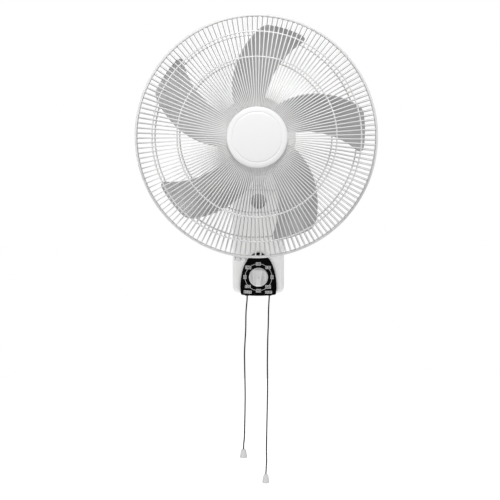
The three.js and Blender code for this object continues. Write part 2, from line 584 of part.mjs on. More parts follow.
const SHAFT = { back: MOTOR_BACK - 1, front: -312 };
add("motor_shaft", rodY(SHAFT_RADIUS, SHAFT.back, SHAFT.front, FAN_X, FAN_Z, 16), "steel");

// ---------------------------------------------------------------- impeller
// Outline of one blade. Angles are in degrees, counted from the leading tip corner, at each radius r.
const ROOT = 22;
const leadingAngle = (r) => 13.8 * (1 - THREE.MathUtils.clamp((r - 82) / (BLADE_RADIUS - 88), 0, 1) ** 1.6);
const trailingAngle = (r) => 25.9 + (197 - r) * 0.295;
const axialDepth = (r) => THREE.MathUtils.mapLinear(r, ROOT, BLADE_RADIUS, 42, 28);

// How far a tip corner is drawn in, for a place v across the blade, from 0 at the leading edge to 1.
function tipRounding(v) {
  const corners = [{ edge: 0, width: 0.14, depth: 11 }, { edge: 1, width: 0.12, depth: 9 }];
  let drawnIn = 0;
  for (const { edge, width, depth } of corners) {
    const from = Math.abs(v - edge);
    if (from < width) drawnIn = depth * (1 - Math.sqrt(1 - (1 - from / width) ** 2));
  }
  return drawnIn;
}

function bladeGeometry(firstAngle) {
  const across = [0, 0.04, 0.14, 0.38, 0.62, 0.88, 0.97, 1];
  const along = [0, 0.25, 0.5, 0.75, 1];
  const points = [];
  for (const face of [-1, 1]) {
    for (const u of along) {
      for (const v of across) {
        const r = ROOT + (BLADE_RADIUS - tipRounding(v) - ROOT) * u;
        const angle = THREE.MathUtils.degToRad(
          firstAngle + THREE.MathUtils.lerp(leadingAngle(r), trailingAngle(r), v));
        const camber = 5 * (1 - (2 * v - 1) ** 2);
        const y = BLADE_Y + axialDepth(r) * (0.5 - v) + camber + face * BLADE_THICKNESS * 0.62;
        points.push(FAN_X + r * Math.cos(angle), y, FAN_Z + r * Math.sin(angle));
      }
    }
  }
  const [rows, columns] = [along.length, across.length];
  const at = (face, i, j) => face * rows * columns + i * columns + j;
  const corners = [];
  const quad = (a, b, c, d) => corners.push(a, b, c, a, c, d);
  for (let i = 0; i < rows - 1; i++) {
    for (let j = 0; j < columns - 1; j++) {
      quad(at(0, i, j), at(0, i, j + 1), at(0, i + 1, j + 1), at(0, i + 1, j));
      quad(at(1, i, j), at(1, i + 1, j), at(1, i + 1, j + 1), at(1, i, j + 1));
    }
    quad(at(0, i, 0), at(0, i + 1, 0), at(1, i + 1, 0), at(1, i, 0));
    quad(at(0, i + 1, columns - 1), at(0, i, columns - 1), at(1, i, columns - 1), at(1, i + 1, columns - 1));
  }
  for (let j = 0; j < columns - 1; j++) {
    quad(at(0, 0, j + 1), at(0, 0, j), at(1, 0, j), at(1, 0, j + 1));
    quad(at(0, rows - 1, j), at(0, rows - 1, j + 1), at(1, rows - 1, j + 1), at(1, rows - 1, j));
  }
  const geometry = new THREE.BufferGeometry();
  geometry.setAttribute("position", new THREE.BufferAttribute(new Float32Array(points), 3));
  geometry.setIndex(corners);
  return geometry;
}

const HUB = { back: -246, front: -293, wall: 2.5, sleeve: 10 };

function impeller() {
  const hub = turnedY(
    [[0, HUB.front], [HUB_RADIUS - 6, HUB.front], [HUB_RADIUS, HUB.front + 5], [HUB_RADIUS, HUB.back],
      [HUB_RADIUS - HUB.wall, HUB.back], [HUB_RADIUS - HUB.wall, HUB.front + 6], [HUB.sleeve, HUB.front + 3],
      [HUB.sleeve, HUB.back - 3], [0, HUB.back - 3]], 24);
  const inside = rodY(HUB_RADIUS - HUB.wall, HUB.back + 20, HUB.front + 6, FAN_X, FAN_Z, 24);
  const blades = [];
  for (let i = 0; i < BLADE_COUNT; i++) {
    blades.push(solid(bladeGeometry(BLADE_FIRST_ANGLE + (360 / BLADE_COUNT) * i)).subtract(inside));
  }
  return cut(join(hub, ...blades), rodY(SHAFT_RADIUS + GAP, -200, -320, FAN_X, FAN_Z, 16));
}

add("impeller", impeller(), "greyBlade");

const spinner = turnedY(
  [[SHAFT_RADIUS + GAP, HUB.front - GAP], [20, HUB.front - GAP], [21, HUB.front - 2], [19, HUB.front - 14],
    [14, HUB.front - 22], [0, HUB.front - 24], [0, SHAFT.front - GAP],
    [SHAFT_RADIUS + GAP, SHAFT.front - GAP]], 24);
add("spinner", spinner, "whitePlastic");

// ---------------------------------------------------------------- guards
// A guard is one welded cage, laid out as strips on a dished surface: along the wires and round the rings.
// Each row runs from one [radius, y] to the next, and a row marked solid is a ring or a plate.
function cage(stations, towardsFront) {
  const lines = [];
  for (let i = 0; i < SPOKES; i++) {
    const middle = (2 * Math.PI * i) / SPOKES;
    lines.push([middle, -1], [middle, 1]);
  }
  const points = [];
  const count = stations.length;
  for (const face of [-1, 1]) {
    stations.forEach(({ r, y, slope }) => {
      const [nr, ny] = [Math.sin(slope), Math.cos(slope)].map((v) => (v * face * WIRE) / 2);
      for (const [middle, side] of lines) {
        const angle = middle + (side * WIRE) / 2 / r;
        const radius = r + nr;
        points.push(FAN_X + radius * Math.cos(angle), y + ny * towardsFront, GUARD_Z + radius * Math.sin(angle));
      }
    });
  }
  const total = lines.length;
  const at = (face, row, line) => (face * count + row) * total + (line % total);
  const isSolid = (row, line) =>
    row >= 0 && row < count - 1 && (line % 2 === 0 || stations[row].solid);
  const corners = [];
  const quad = (a, b, c, d) => corners.push(a, b, c, a, c, d);
  for (let row = 0; row < count - 1; row++) {
    for (let line = 0; line < total; line++) {
      if (!isSolid(row, line)) continue;
      const next = line + 1;
      quad(at(0, row, line), at(0, row, next), at(0, row + 1, next), at(0, row + 1, line));
      quad(at(1, row, line), at(1, row + 1, line), at(1, row + 1, next), at(1, row, next));
      if (!isSolid(row - 1, line)) {
        quad(at(0, row, next), at(0, row, line), at(1, row, line), at(1, row, next));
      }
      if (!isSolid(row + 1, line)) {
        quad(at(0, row + 1, line), at(0, row + 1, next), at(1, row + 1, next), at(1, row + 1, line));
      }
      if (!isSolid(row, (line + total - 1) % total)) {
        quad(at(0, row, line), at(0, row + 1, line), at(1, row + 1, line), at(1, row, line));
      }
      if (!isSolid(row, next % total)) {
        quad(at(0, row + 1, next), at(0, row, next), at(1, row, next), at(1, row + 1, next));
      }
    }
  }
  const geometry = new THREE.BufferGeometry();
  geometry.setAttribute("position", new THREE.BufferAttribute(new Float32Array(points), 3));
  geometry.setIndex(corners);
  return solid(geometry);
}

// Stations of a guard from the rim inwards. towardsFront is -1 for the front guard and 1 for the rear one.
function guardStations(towardsFront, plate, plateHole) {
  const y = (depth) => RIM_Y + towardsFront * depth;
  const path = [
    { r: GUARD_RADIUS + WIRE / 2, depth: 3, solid: true },
    { r: GUARD_RADIUS - WIRE, depth: 4.2 },
    { r: 210, depth: 33 },
    { r: OUTER_RING.radius + WIRE / 2, depth: OUTER_RING.depth - 0.6, solid: true },
    { r: OUTER_RING.radius - WIRE / 2, depth: OUTER_RING.depth + 0.6 },
    { r: INNER_RING.radius + WIRE / 2, depth: INNER_RING.depth - 0.4, solid: true },
    { r: INNER_RING.radius - WIRE / 2, depth: INNER_RING.depth + 0.4 },
    { r: plate.radius, depth: plate.depth, solid: true },
    { r: plateHole, depth: plate.depth },
  ];
  return path.map((station, i) => {
    const [a, b] = [path[Math.max(i - 1, 0)], path[Math.min(i + 1, path.length - 1)]];
    const slope = Math.atan2(b.depth - a.depth, a.r - b.r);
    return { r: station.r, y: y(station.depth), slope, solid: station.solid };
  });
}

const bossHole = BOSS.radius + FAN_Z - GUARD_Z + 0.7; // wide enough to drop over the boss and rest on it
add("rear_guard", cage(guardStations(1, REAR_PLATE, bossHole), 1), "whiteWire");
add("front_guard", cage(guardStations(-1, FRONT_PLATE, 14), -1), "whiteWire");

const guardNut = turnedY(
  [[BOSS.radius + GAP, -210.4], [31, -210.4], [32, -212], [30, -219], [BOSS.radius + GAP, -219]], 24);
add("guard_nut", guardNut, "darkPlastic");

// The rim band is a hoop of channel section that holds both guards' outer rings. Its ends are folded out into
// two tabs, which a screw and its nut pull together.
const LUG = { angle: 262.6, middle: 229.3, out: 233, reach: 9, gap: 0.6, screw: 2 };

function rimBand() {
  const half = RIM_DEPTH / 2;
  const [lip, sheet] = [RIM_RADIUS - 4.1, 1.4];
  const inside = RIM_RADIUS - 2;
  const channel = turnedY(
    [[RIM_RADIUS, RIM_Y + half - 1.5], [RIM_RADIUS - 1.5, RIM_Y + half], [lip, RIM_Y + half],
      [lip, RIM_Y + half - sheet], [inside, RIM_Y + half - sheet], [inside, RIM_Y - half + sheet],
      [lip, RIM_Y - half + sheet], [lip, RIM_Y - half], [RIM_RADIUS - 1.5, RIM_Y - half],
      [RIM_RADIUS, RIM_Y - half + 1.5]], 48, FAN_X, GUARD_Z);
  const tabs = [[-LUG.reach, -LUG.gap], [LUG.gap, LUG.reach]].map(([z0, z1]) =>
    box(RIM_RADIUS - 1.6, LUG.out, -5, 5, z0, z1));
  const bore = rodZ(LUG.screw + GAP, -LUG.reach - 1, LUG.reach + 1, LUG.middle, 0, 12);
  const lug = cut(join(...tabs), bore).rotate([0, -LUG.angle, 0]).translate([FAN_X, RIM_Y, GUARD_Z]);
  return join(channel, lug);
}

add("rim_band", rimBand(), "whiteWire");

const lugEnd = LUG.reach + GAP;
const lugScrew = turnedZ(
  [[0, -lugEnd - 2.6], [3, -lugEnd - 2.6], [3.6, -lugEnd - 1.8], [3.6, -lugEnd], [LUG.screw, -lugEnd],
    [LUG.screw, lugEnd], [3.6, lugEnd], [3.6, lugEnd + 2.4], [0, lugEnd + 2.4]],
  12, LUG.middle, 0);
add("rim_screw", lugScrew.rotate([0, -LUG.angle, 0]).translate([FAN_X, RIM_Y, GUARD_Z]), "steel");

const capBack = RIM_Y - FRONT_PLATE.depth - WIRE / 2 - GAP;
const centreCap = turnedY(
  [[0, capBack], [CAP_RADIUS - 2, capBack], [CAP_RADIUS, capBack - 1.2], [CAP_RADIUS, capBack - 3.5],
    [CAP_RADIUS - 2, capBack - 6.2], [CAP_RADIUS - 6, capBack - 7.8], [CAP_RADIUS - 11, capBack - 8.6],
    [0, capBack - 10]], 36, FAN_X, GUARD_Z);
add("centre_cap", centreCap, "whitePlastic");

export default fan;
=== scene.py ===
# Wall mounted fan with a wire guard, a grey impeller, a control panel with a timer knob and two pull cords.
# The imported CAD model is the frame. Every piece below is modelled in place around it, in metres: the wall is
# the plane Y = 0, the fan blows towards -Y, and the origin is the middle of the wall plate.
import math

import bpy
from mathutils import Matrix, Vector


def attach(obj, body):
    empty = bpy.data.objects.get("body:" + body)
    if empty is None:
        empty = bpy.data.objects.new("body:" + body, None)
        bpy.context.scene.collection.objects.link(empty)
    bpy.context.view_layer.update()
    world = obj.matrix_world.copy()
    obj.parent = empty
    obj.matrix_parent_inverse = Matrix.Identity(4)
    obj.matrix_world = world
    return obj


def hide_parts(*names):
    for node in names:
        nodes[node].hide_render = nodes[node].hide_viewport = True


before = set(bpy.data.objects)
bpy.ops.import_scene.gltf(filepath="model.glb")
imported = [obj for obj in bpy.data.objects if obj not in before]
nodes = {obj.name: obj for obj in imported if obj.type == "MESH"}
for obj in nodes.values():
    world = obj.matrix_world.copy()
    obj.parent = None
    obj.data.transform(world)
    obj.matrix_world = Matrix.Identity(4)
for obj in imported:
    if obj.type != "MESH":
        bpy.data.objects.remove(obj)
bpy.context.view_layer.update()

# ---------------------------------------------------------------- camera
# A long lens, level with the fan's hub and a little to its left, that looks down at the middle of the fan.
FOCAL_PIXELS = 1345
PHOTO_PIXELS = 500
SENSOR = 36
CAMERA_PLACE = (-0.046, -2.780, 0.223)
CAMERA_PITCH = math.radians(5.10)
CAMERA_YAW = math.radians(0.62)

camera_data = bpy.data.cameras.new("camera")
camera_data.sensor_width = SENSOR
camera_data.lens = FOCAL_PIXELS / PHOTO_PIXELS * SENSOR
camera = bpy.data.objects.new("camera", camera_data)
camera.location = CAMERA_PLACE
camera.rotation_euler = (math.pi / 2 - CAMERA_PITCH, 0, -CAMERA_YAW)
bpy.context.scene.collection.objects.link(camera)
bpy.context.scene.camera = camera

# ---------------------------------------------------------------- pull cords
# Two round braided cords of black polyester, 2.6 mm thick. Each is knotted to its switch's plunger inside the
# housing, leaves through a gland in the underside, and hangs limp, with slight waves from its pack.
CORD_DIAMETER = 0.0026
CORD_Y = -0.076
BRAID_STEP = 0.0021  # a real plait is 0.8 mm long: drawn coarser, or it would not show
WAVE_RATE = 3.2  # waves in a metre of a wave texture whose scale is 1
CORD_ROUTES = {
    "speed": [
        (-22.4, -80.3), (-22.4, -96), (-22.4, -112), (-22.9, -122), (-24.1, -135), (-24.9, -148),
        (-25.2, -165), (-25.5, -182), (-26.3, -196), (-27.3, -214), (-27.9, -231), (-27.7, -247),
        (-27.4, -267), (-26.9, -290), (-26.6, -315), (-26.8, -340), (-27.3, -365), (-27.8, -386),
        (-28.2, -401), (-28.9, -410), (-29.8, -419), (-29.9, -426.6),
    ],
    "swing": [
        (22.4, -80.3), (22.4, -96), (22.4, -112), (21.7, -123), (20.9, -140), (20.6, -158), (20.1, -178),
        (19.4, -196), (19.0, -214), (18.8, -232), (18.6, -251), (18.8, -270), (19.1, -288), (18.9, -320),
        (18.3, -350), (17.7, -380), (17.2, -404), (16.9, -424), (17.0, -440), (17.2, -452), (16.6, -464),
        (15.8, -479.1),
    ],
}


def linear(colour):
    """An sRGB hex colour as the linear colour that a shader reads."""
    parts = [int(colour[i:i + 2], 16) / 255 for i in (1, 3, 5)]
    return [c / 12.92 if c <= 0.04045 else ((c + 0.055) / 1.055) ** 2.4 for c in parts] + [1]


def add_node(material, kind, settings=None, links=None):
    """Adds one node. Settings are its properties and its sockets' values, and links feed its sockets."""
    node = material.node_tree.nodes.new(kind)
    for name, value in (settings or {}).items():
        if isinstance(name, int) or name in node.inputs:
            node.inputs[name].default_value = value
        else:
            setattr(node, name, value)
    for name, source in (links or {}).items():
        material.node_tree.links.new(source, node.inputs[name])
    return node


def new_finish(name, colour, roughness, **settings):
    """A material with plain values, its shader, and the piece's own coordinates for patterns."""
    material = bpy.data.materials.new(name)
    material.use_nodes = True
    shader = material.node_tree.nodes["Principled BSDF"]
    shader.inputs["Base Color"].default_value = linear(colour)
    shader.inputs["Roughness"].default_value = roughness
    for socket, value in settings.items():
        shader.inputs[socket.replace("_", " ")].default_value = value
    return material, shader, add_node(material, "ShaderNodeTexCoord").outputs["Object"]


def lay_patterns(material, shader, tone=None, gloss=None, relief=None):
    """Lets patterns feed the shader. Tone is a pattern and two linear colours. Gloss is a pattern, two
    roughnesses and, where it isn't all, the part of the pattern that they span. Relief is a pattern, its
    strength and its depth in metres."""
    links = material.node_tree.links
    if tone:
        pattern, dark, light = tone
        mixed = add_node(
            material, "ShaderNodeMix", {"data_type": "RGBA", 6: dark, 7: light}, {"Factor": pattern})
        links.new(mixed.outputs[2], shader.inputs["Base Color"])
    if gloss:
        pattern, least, most, *span = gloss
        low, high = span or (0, 1)
        spread = add_node(
            material, "ShaderNodeMapRange", {1: low, 2: high, 3: least, 4: most}, {"Value": pattern})
        links.new(spread.outputs["Result"], shader.inputs["Roughness"])
    if relief:
        pattern, strength, depth = relief
        bump = add_node(
            material, "ShaderNodeBump", {"Strength": strength, "Distance": depth}, {"Height": pattern})
        links.new(bump.outputs["Normal"], shader.inputs["Normal"])
    return material


def braided_polyester():
    """Plaited black yarn: rows of small slanted bumps, dull, with a painted highlight on the crowns and
    painted shade in the grooves.
    """
    material, shader, place = new_finish("braided_polyester", "#070707", 0.95, Specular_IOR_Level=0.0)
    waves = []
    for lean in (40, -40):
        turned = add_node(
            material, "ShaderNodeMapping", {"Rotation": (0, math.radians(lean), 0)}, {"Vector": place})
        waves.append(add_node(
            material, "ShaderNodeTexWave",
            {"Scale": 1 / (BRAID_STEP * WAVE_RATE), "Distortion": 0.4, "bands_direction": "Z"},
            {"Vector": turned.outputs["Vector"]}).outputs["Color"])
    plait_and_shade = add_node(material, "ShaderNodeMix", {"data_type": "RGBA", "blend_type": "MULTIPLY", "Factor": 1},
                     {6: waves[0], 7: waves[1]}).outputs[2]
    # The tone follows the plait's bumps: a painted highlight on their crowns and painted shade in the grooves
    # between them.
    return lay_patterns(
        material, shader, (plait_and_shade, linear("#020202"), linear("#121212")), relief=(plait_and_shade, 0.7, 0.0003))


cord_finish = braided_polyester()
for cord_name, route in CORD_ROUTES.items():
    curve = bpy.data.curves.new(f"{cord_name}_pull_cord", "CURVE")
    curve.dimensions = "3D"
    curve.bevel_depth = CORD_DIAMETER / 2
    curve.bevel_resolution = 3
    curve.resolution_u = 4
    curve.use_fill_caps = True
    line = curve.splines.new("BEZIER")
    line.bezier_points.add(len(route) - 1)
    for point, (x, z) in zip(line.bezier_points, route):
        point.co = (x / 1000, CORD_Y, z / 1000)
        point.handle_left_type = point.handle_right_type = "AUTO"
    cord = bpy.data.objects.new(f"{cord_name}_pull_cord", curve)
    bpy.context.scene.collection.objects.link(cord)
    curve.materials.append(cord_finish)
    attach(cord, f"{cord_name}_pull")
    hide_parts(f"{cord_name}_cord")

# ---------------------------------------------------------------- bell pulls
# Two hollow bells of light grey ABS, moulded in one piece, with the cord's knot held inside the small crown.
MOULD_GRAIN, MOULD_DEPTH, CROWN_GAP = 0.0009, 0.00004, 0.0003
BELL_RINGS = [  # radius and distance below the crown, millimetres
    (1.6, 0), (3.2, 0.1), (4.0, 0.5), (4.6, 1.3), (5.1, 2.8), (5.5, 4.6), (6.0, 7.2), (6.5, 10), (6.95, 12.6),
    (7.2, 14.4), (7.4, 15.3), (7.4, 16.6), (7.15, 17.3), (6.6, 17.9), (5.6, 18.2), (4.9, 18.1), (4.6, 17.2),
    (4.4, 12), (3.6, 6), (1.6, 5.2),
]


def pick(piece):
    """Makes the piece the active one, and the only one selected."""
    bpy.ops.object.select_all(action="DESELECT")
    piece.select_set(True)
    bpy.context.view_layer.objects.active = piece


def edit(piece):
    """Opens the piece's mesh, with all of it selected."""
    pick(piece)
    bpy.ops.object.mode_set(mode="EDIT")
    bpy.ops.mesh.select_all(action="SELECT")


def settle(piece, angle=35):
    """Puts the piece's place into its mesh, turns its faces outwards and shades its round parts smooth."""
    pick(piece)
    bpy.ops.object.transform_apply()
    edit(piece)
    bpy.ops.mesh.remove_doubles(threshold=1e-6)
    bpy.ops.mesh.normals_make_consistent(inside=False)
    bpy.ops.object.mode_set(mode="OBJECT")
    bpy.ops.object.shade_smooth_by_angle(angle=math.radians(angle))
    return piece


def close_ends():
    """Fills the open ends of the mesh that is open for editing."""
    bpy.ops.mesh.select_all(action="DESELECT")
    bpy.ops.mesh.select_non_manifold()
    bpy.ops.mesh.fill_holes(sides=0)


def profile(start, *rings):
    """Rings given in millimetres, their places counted from the start, as rings in metres."""
    return [(radius / 1000, start + place / 1000) for radius, place in rings]


def turn(rings, centre, axis="Y", segments=64, closed=False, angle=35):
    """Draws out a circle ring by ring, as on a lathe, and back to the first if closed. Each ring is a
    radius and a place along the axis, in metres."""
    along = {"X": Vector((1, 0, 0)), "Y": Vector((0, 1, 0)), "Z": Vector((0, 0, 1))}[axis]
    lean = {"X": (0, math.pi / 2, 0), "Y": (math.pi / 2, 0, 0), "Z": (0, 0, 0)}[axis]
    base = Vector(centre)
    radius, place = rings[0]
    bpy.ops.mesh.primitive_circle_add(
        vertices=segments, radius=radius, location=base + along * place, rotation=lean)
    piece = bpy.context.object
    edit(piece)
    for next_radius, next_place in [*rings[1:], rings[0]] if closed else rings[1:]:
        bpy.ops.mesh.extrude_region_move(TRANSFORM_OT_translate={"value": along * (next_place - place)})
        bpy.ops.transform.resize(value=(next_radius / radius,) * 3, center_override=base + along * next_place)
        radius, place = next_radius, next_place
    bpy.ops.mesh.select_all(action="SELECT")
    bpy.ops.mesh.remove_doubles(threshold=1e-6)
    if not closed:
        close_ends()
    bpy.ops.object.mode_set(mode="OBJECT")
    return settle(piece, angle)


def dress(piece, name, finish, body, slot, *stands_for):
    """Names a piece, gives it its finish and its body, and lets it stand for CAD nodes."""
    piece.name = name
    piece.data.name = name
    piece.data.materials.clear()
    piece.data.materials.append(finish)
    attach(piece, body)
    if stands_for:
        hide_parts(*stands_for)
    return piece


def moulded(name, colour, roughness, mottle=0.03, shine=0.5):
    """Moulded plastic: satin, with the fine spark-eroded grain of its mould and a faint cloudiness."""
    material, shader, place = new_finish(name, colour, roughness, IOR=1.52, Specular_IOR_Level=shine)
    grit = add_node(material, "ShaderNodeTexNoise", {"Scale": 1 / MOULD_GRAIN, "Detail": 3, "Roughness": 0.6},
                    {"Vector": place}).outputs["Fac"]
    cloud = add_node(
        material, "ShaderNodeTexNoise", {"Scale": 14, "Detail": 2}, {"Vector": place}).outputs["Fac"]
    tones = [[min(c * share, 1) for c in linear(colour)[:3]] + [1] for share in (1 - mottle, 1 + mottle)]
    return lay_patterns(
        material, shader, (cloud, *tones), (grit, roughness - 0.05, roughness + 0.06),
        (grit, 0.35, MOULD_DEPTH))


grey_abs = moulded("grey_moulded_abs", "#cfcfcf", 0.38)
for cord_name, route in CORD_ROUTES.items():
    x, z = route[-1]
    rings = [(radius / 1000, -depth / 1000) for radius, depth in BELL_RINGS]
    bell = turn(rings, (x / 1000, CORD_Y, z / 1000 - CROWN_GAP), "Z", 40)
    dress(bell, f"{cord_name}_bell_pull", grey_abs, f"{cord_name}_pull", "knob_grey", f"{cord_name}_bell")

# ---------------------------------------------------------------- guards
# Front and rear guard: some 145 steel wires each, drawn, bent, welded to rings inside them and powder coated
# white. The wires run straight over the side, bend at the outer ring and lie dished over the face to a plate.
GUARD_AXIS = Vector((-0.007, 0, 0.210))
RIM_Y = -0.280
RIM_MIDDLE = GUARD_AXIS + Vector((0, RIM_Y, 0))
WIRE_SIDES = 6
RING_DIAMETER, WELD_SINK, RING_SEGMENTS = 0.0028, 0.0006, 180
END_RING, END_RING_DIAMETER = 0.2221, 0.0032
OUTER_RING, INNER_RING, PLATE_RING, RING_INSET = 0.191, 0.145, 0.0752, 0.0004
WIRE_LINE = [  # radius and depth from the rim plane, metres
    (0.2204, 0.0030), (0.2196, 0.0120), (0.2160, 0.0235), (0.2065, 0.0380), (OUTER_RING, 0.0496),
    (0.1690, 0.0578), (INNER_RING, 0.0640), (0.1100, 0.0693), (0.0760, 0.0720), (0.0500, 0.0735),
]
GUARDS = {  # the angle is that of one wire, anticlockwise from the right, in degrees
    "rear": {"facing": 1, "wires": 146, "thick": 0.0019, "angle": 0.70, "inner_end": 0.070,
             "rings": [OUTER_RING, INNER_RING, PLATE_RING]},
    "front": {"facing": -1, "wires": 145, "thick": 0.0020, "angle": 1.50, "inner_end": 0.049,
              "rings": [OUTER_RING, INNER_RING]},
}


def powder_coat():
    """White polyester powder, baked on the wire: glossy, with the soft orange peel of a thick coat."""
    material, shader, place = new_finish("white_powder_coat", "#d6d6d6", 0.3, IOR=1.5)
    peel = add_node(
        material, "ShaderNodeTexNoise", {"Scale": 1 / 0.0024, "Detail": 1}, {"Vector": place}).outputs["Fac"]
    cloud = add_node(
        material, "ShaderNodeTexNoise", {"Scale": 9, "Detail": 2}, {"Vector": place}).outputs["Fac"]
    return lay_patterns(
        material, shader, (cloud, linear("#d2d2d2"), linear("#dadad9")), (peel, 0.24, 0.36),
        (peel, 0.3, 0.00008))


def join(name, pieces):
    """Several meshes as one piece."""
    pick(pieces[0])
    for piece in pieces:
        piece.select_set(True)
    bpy.ops.object.join()
    pieces[0].name = name
    return pieces[0]


def guard_wires(facing, count, thick, innermost, angle):
    """One wire drawn along its line, then spun round the guard's axis. Facing is -1 in front, 1 behind."""
    line = [(r, RIM_Y + facing * depth) for r, depth in WIRE_LINE if r > innermost] + [
        (innermost, RIM_Y + facing * WIRE_LINE[-1][1])]
    points = [GUARD_AXIS + Vector((r, y, 0)) for r, y in line]
    lean = math.atan2(points[1].y - points[0].y, points[1].x - points[0].x)
    bpy.ops.mesh.primitive_circle_add(
        vertices=WIRE_SIDES, radius=thick / 2, location=points[0], rotation=(0, math.pi / 2, lean))
    wires = bpy.context.object
    edit(wires)
    for i in range(1, len(points)):
        bpy.ops.mesh.extrude_region_move(TRANSFORM_OT_translate={"value": points[i] - points[i - 1]})
        ahead = points[min(i + 1, len(points) - 1)] - points[i - 1]
        new_lean = math.atan2(ahead.y, ahead.x)
        bpy.ops.transform.rotate(
            value=-(new_lean - lean), orient_axis="Z", orient_type="GLOBAL", center_override=points[i])
        lean = new_lean
    bpy.ops.mesh.select_all(action="SELECT")
    bpy.ops.mesh.spin(steps=count, dupli=True, angle=math.tau, center=RIM_MIDDLE, axis=(0, 1, 0))
    bpy.ops.object.mode_set(mode="OBJECT")
    bpy.ops.object.transform_apply()
    edit(wires)
    bpy.ops.transform.rotate(
        value=math.radians(angle), orient_axis="Y", orient_type="GLOBAL", center_override=RIM_MIDDLE)
    close_ends()
    bpy.ops.object.mode_set(mode="OBJECT")
    return wires


def guard_ring(radius, y, diameter):
    """A welded ring of round wire round the guard's axis."""
    bpy.ops.mesh.primitive_torus_add(
        location=GUARD_AXIS + Vector((0, y, 0)), rotation=(math.pi / 2, 0, 0), major_segments=RING_SEGMENTS,
        minor_segments=8, major_radius=radius, minor_radius=diameter / 2)
    return bpy.context.object


white_powder_coat = powder_coat()
for side, guard in GUARDS.items():
    facing = guard["facing"]
    wires = guard_wires(facing, guard["wires"], guard["thick"], guard["inner_end"], guard["angle"])
    rings = [guard_ring(END_RING, RIM_Y + facing * END_RING_DIAMETER, END_RING_DIAMETER)]
    for radius in guard["rings"]:
        depth = next(
            a[1] + (a[0] - radius) / (a[0] - b[0]) * (b[1] - a[1])
            for a, b in zip(WIRE_LINE, WIRE_LINE[1:]) if a[0] >= radius >= b[0])
        under = depth - (guard["thick"] / 2 + RING_DIAMETER / 2 - WELD_SINK)
        rings.append(guard_ring(radius - RING_INSET, RIM_Y + facing * under, RING_DIAMETER))
    cage = settle(join(f"{side}_wire_guard", [wires, *rings]), 60)
    dress(cage, f"{side}_wire_guard", white_powder_coat, "head", "white_wire", f"{side}_guard")

# The rear guard's centre plate is pressed from 1.2 mm steel, with a raised ring, and fits round the motor's
# boss. The front guard's plate is a plain disc behind the cap. Both are welded to their wires.
PLATES = {
    "rear": profile(RIM_Y + 0.072, (21.7, -0.8), (76, -0.8), (76.6, -0.2), (76.6, 0.8), (74, 1.1), (70, 0.8),
                    (66, 1.2), (56, 1.2), (54, 0.4), (21.7, 0.4)),
    "front": profile(RIM_Y - 0.0735, (14, -0.9), (51, -0.9), (52, 0), (52, 0.8), (51, 1.1), (14, 1.1)),
}
for (side, rings), segments in zip(PLATES.items(), (120, 96)):
    plate = turn(rings, GUARD_AXIS, "Y", segments, closed=True)
    dress(plate, f"{side}_guard_plate", white_powder_coat, "head", "white_wire")

# ---------------------------------------------------------------- rim band
# A hoop of rolled steel channel that holds both guards' outer rings. Its ends are folded out into two tabs
# under the fan, which a zinc plated screw and nut pull together. It is coated with the guards.
RIM_RADIUS = 0.225
LUG_ANGLE = math.radians(262.6)
LUG_ROOT, LUG_MIDDLE, LUG_OUT = RIM_RADIUS - 0.0016, 0.2293, 0.2330
LUG_REACH, LUG_GAP, LUG_HALF, LUG_BORE = 0.0090, 0.0006, 0.0050, 0.0023


def block(x, y, z):
    """A cube with the given ends along each axis."""
    ends = [x, y, z]
    bpy.ops.mesh.primitive_cube_add(
        size=1, location=[(a + b) / 2 for a, b in ends], scale=[abs(b - a) for a, b in ends])
    bpy.ops.object.transform_apply()
    return bpy.context.object


def round_edges(piece, width, segments, test):
    """Bevels the edges whose middle and direction pass the test."""
    edit(piece)
    bpy.ops.mesh.select_mode(type="EDGE")
    bpy.ops.mesh.select_all(action="DESELECT")
    bpy.ops.object.mode_set(mode="OBJECT")
    points = piece.data.vertices
    for edge in piece.data.edges:
        a, b = (points[i].co for i in edge.vertices)
        edge.select = test((a + b) / 2, (b - a).normalized())
    bpy.ops.object.mode_set(mode="EDIT")
    bpy.ops.mesh.bevel(offset=width, segments=segments, affect="EDGES", clamp_overlap=True)
    bpy.ops.mesh.select_mode(type="VERT")
    bpy.ops.object.mode_set(mode="OBJECT")
    return piece


def carve(piece, operation, tools):
    """Cuts the tools out of the piece, or adds them to it, and deletes them."""
    pick(piece)
    for tool in tools:
        modifier = piece.modifiers.new("carve", "BOOLEAN")
        modifier.operation, modifier.object, modifier.solver = operation, tool, "EXACT"
        bpy.ops.object.modifier_apply(modifier="carve")
        bpy.data.objects.remove(tool)
    return piece


def rod(radius, start, end, segments=32):
    """A straight round rod between two places on a line along X, Y or Z."""
    start, end = Vector(start), Vector(end)
    axis = "XYZ"[max(range(3), key=lambda i: abs(end[i] - start[i]))]
    return turn([(radius, 0), (radius, (end - start)["XYZ".index(axis)])], start, axis, segments)


hoop = turn(
    profile(RIM_Y, (221.2, -7.5), (223.2, -7.5), (224.4, -7), (225, -5.5), (225, 5.5), (224.4, 7),
            (223.2, 7.5), (221.2, 7.5), (221.2, 6.3), (222.6, 6.3), (222.6, -6.3), (221.2, -6.3)),
    GUARD_AXIS, "Y", 240, closed=True)
tabs = []
for near, far in ((-LUG_REACH, -LUG_GAP), (LUG_GAP, LUG_REACH)):
    tab = block((LUG_ROOT, LUG_OUT), (-LUG_HALF, LUG_HALF), (near, far))
    round_edges(tab, 0.0018, 4, lambda middle, way: True)
    bore = rod(LUG_BORE, (LUG_MIDDLE, 0, -LUG_REACH - 0.001), (LUG_MIDDLE, 0, LUG_REACH + 0.001), 24)
    tabs.append(carve(tab, "DIFFERENCE", [bore]))
lug_screw = turn(
    profile(0, (1, -11.9), (2.6, -11.8), (3.3, -11.4), (3.6, -10.7), (3.6, -9.3), (2, -9.3), (2, 9.3),
            (3.6, 9.3), (3.6, 11.4), (3.3, 11.7), (1, 11.7)), (LUG_MIDDLE, 0, 0), "Z", 24)
for piece in (*tabs, lug_screw):
    piece.rotation_euler = (0, -LUG_ANGLE, 0)
    piece.location = RIM_MIDDLE
settle(lug_screw)
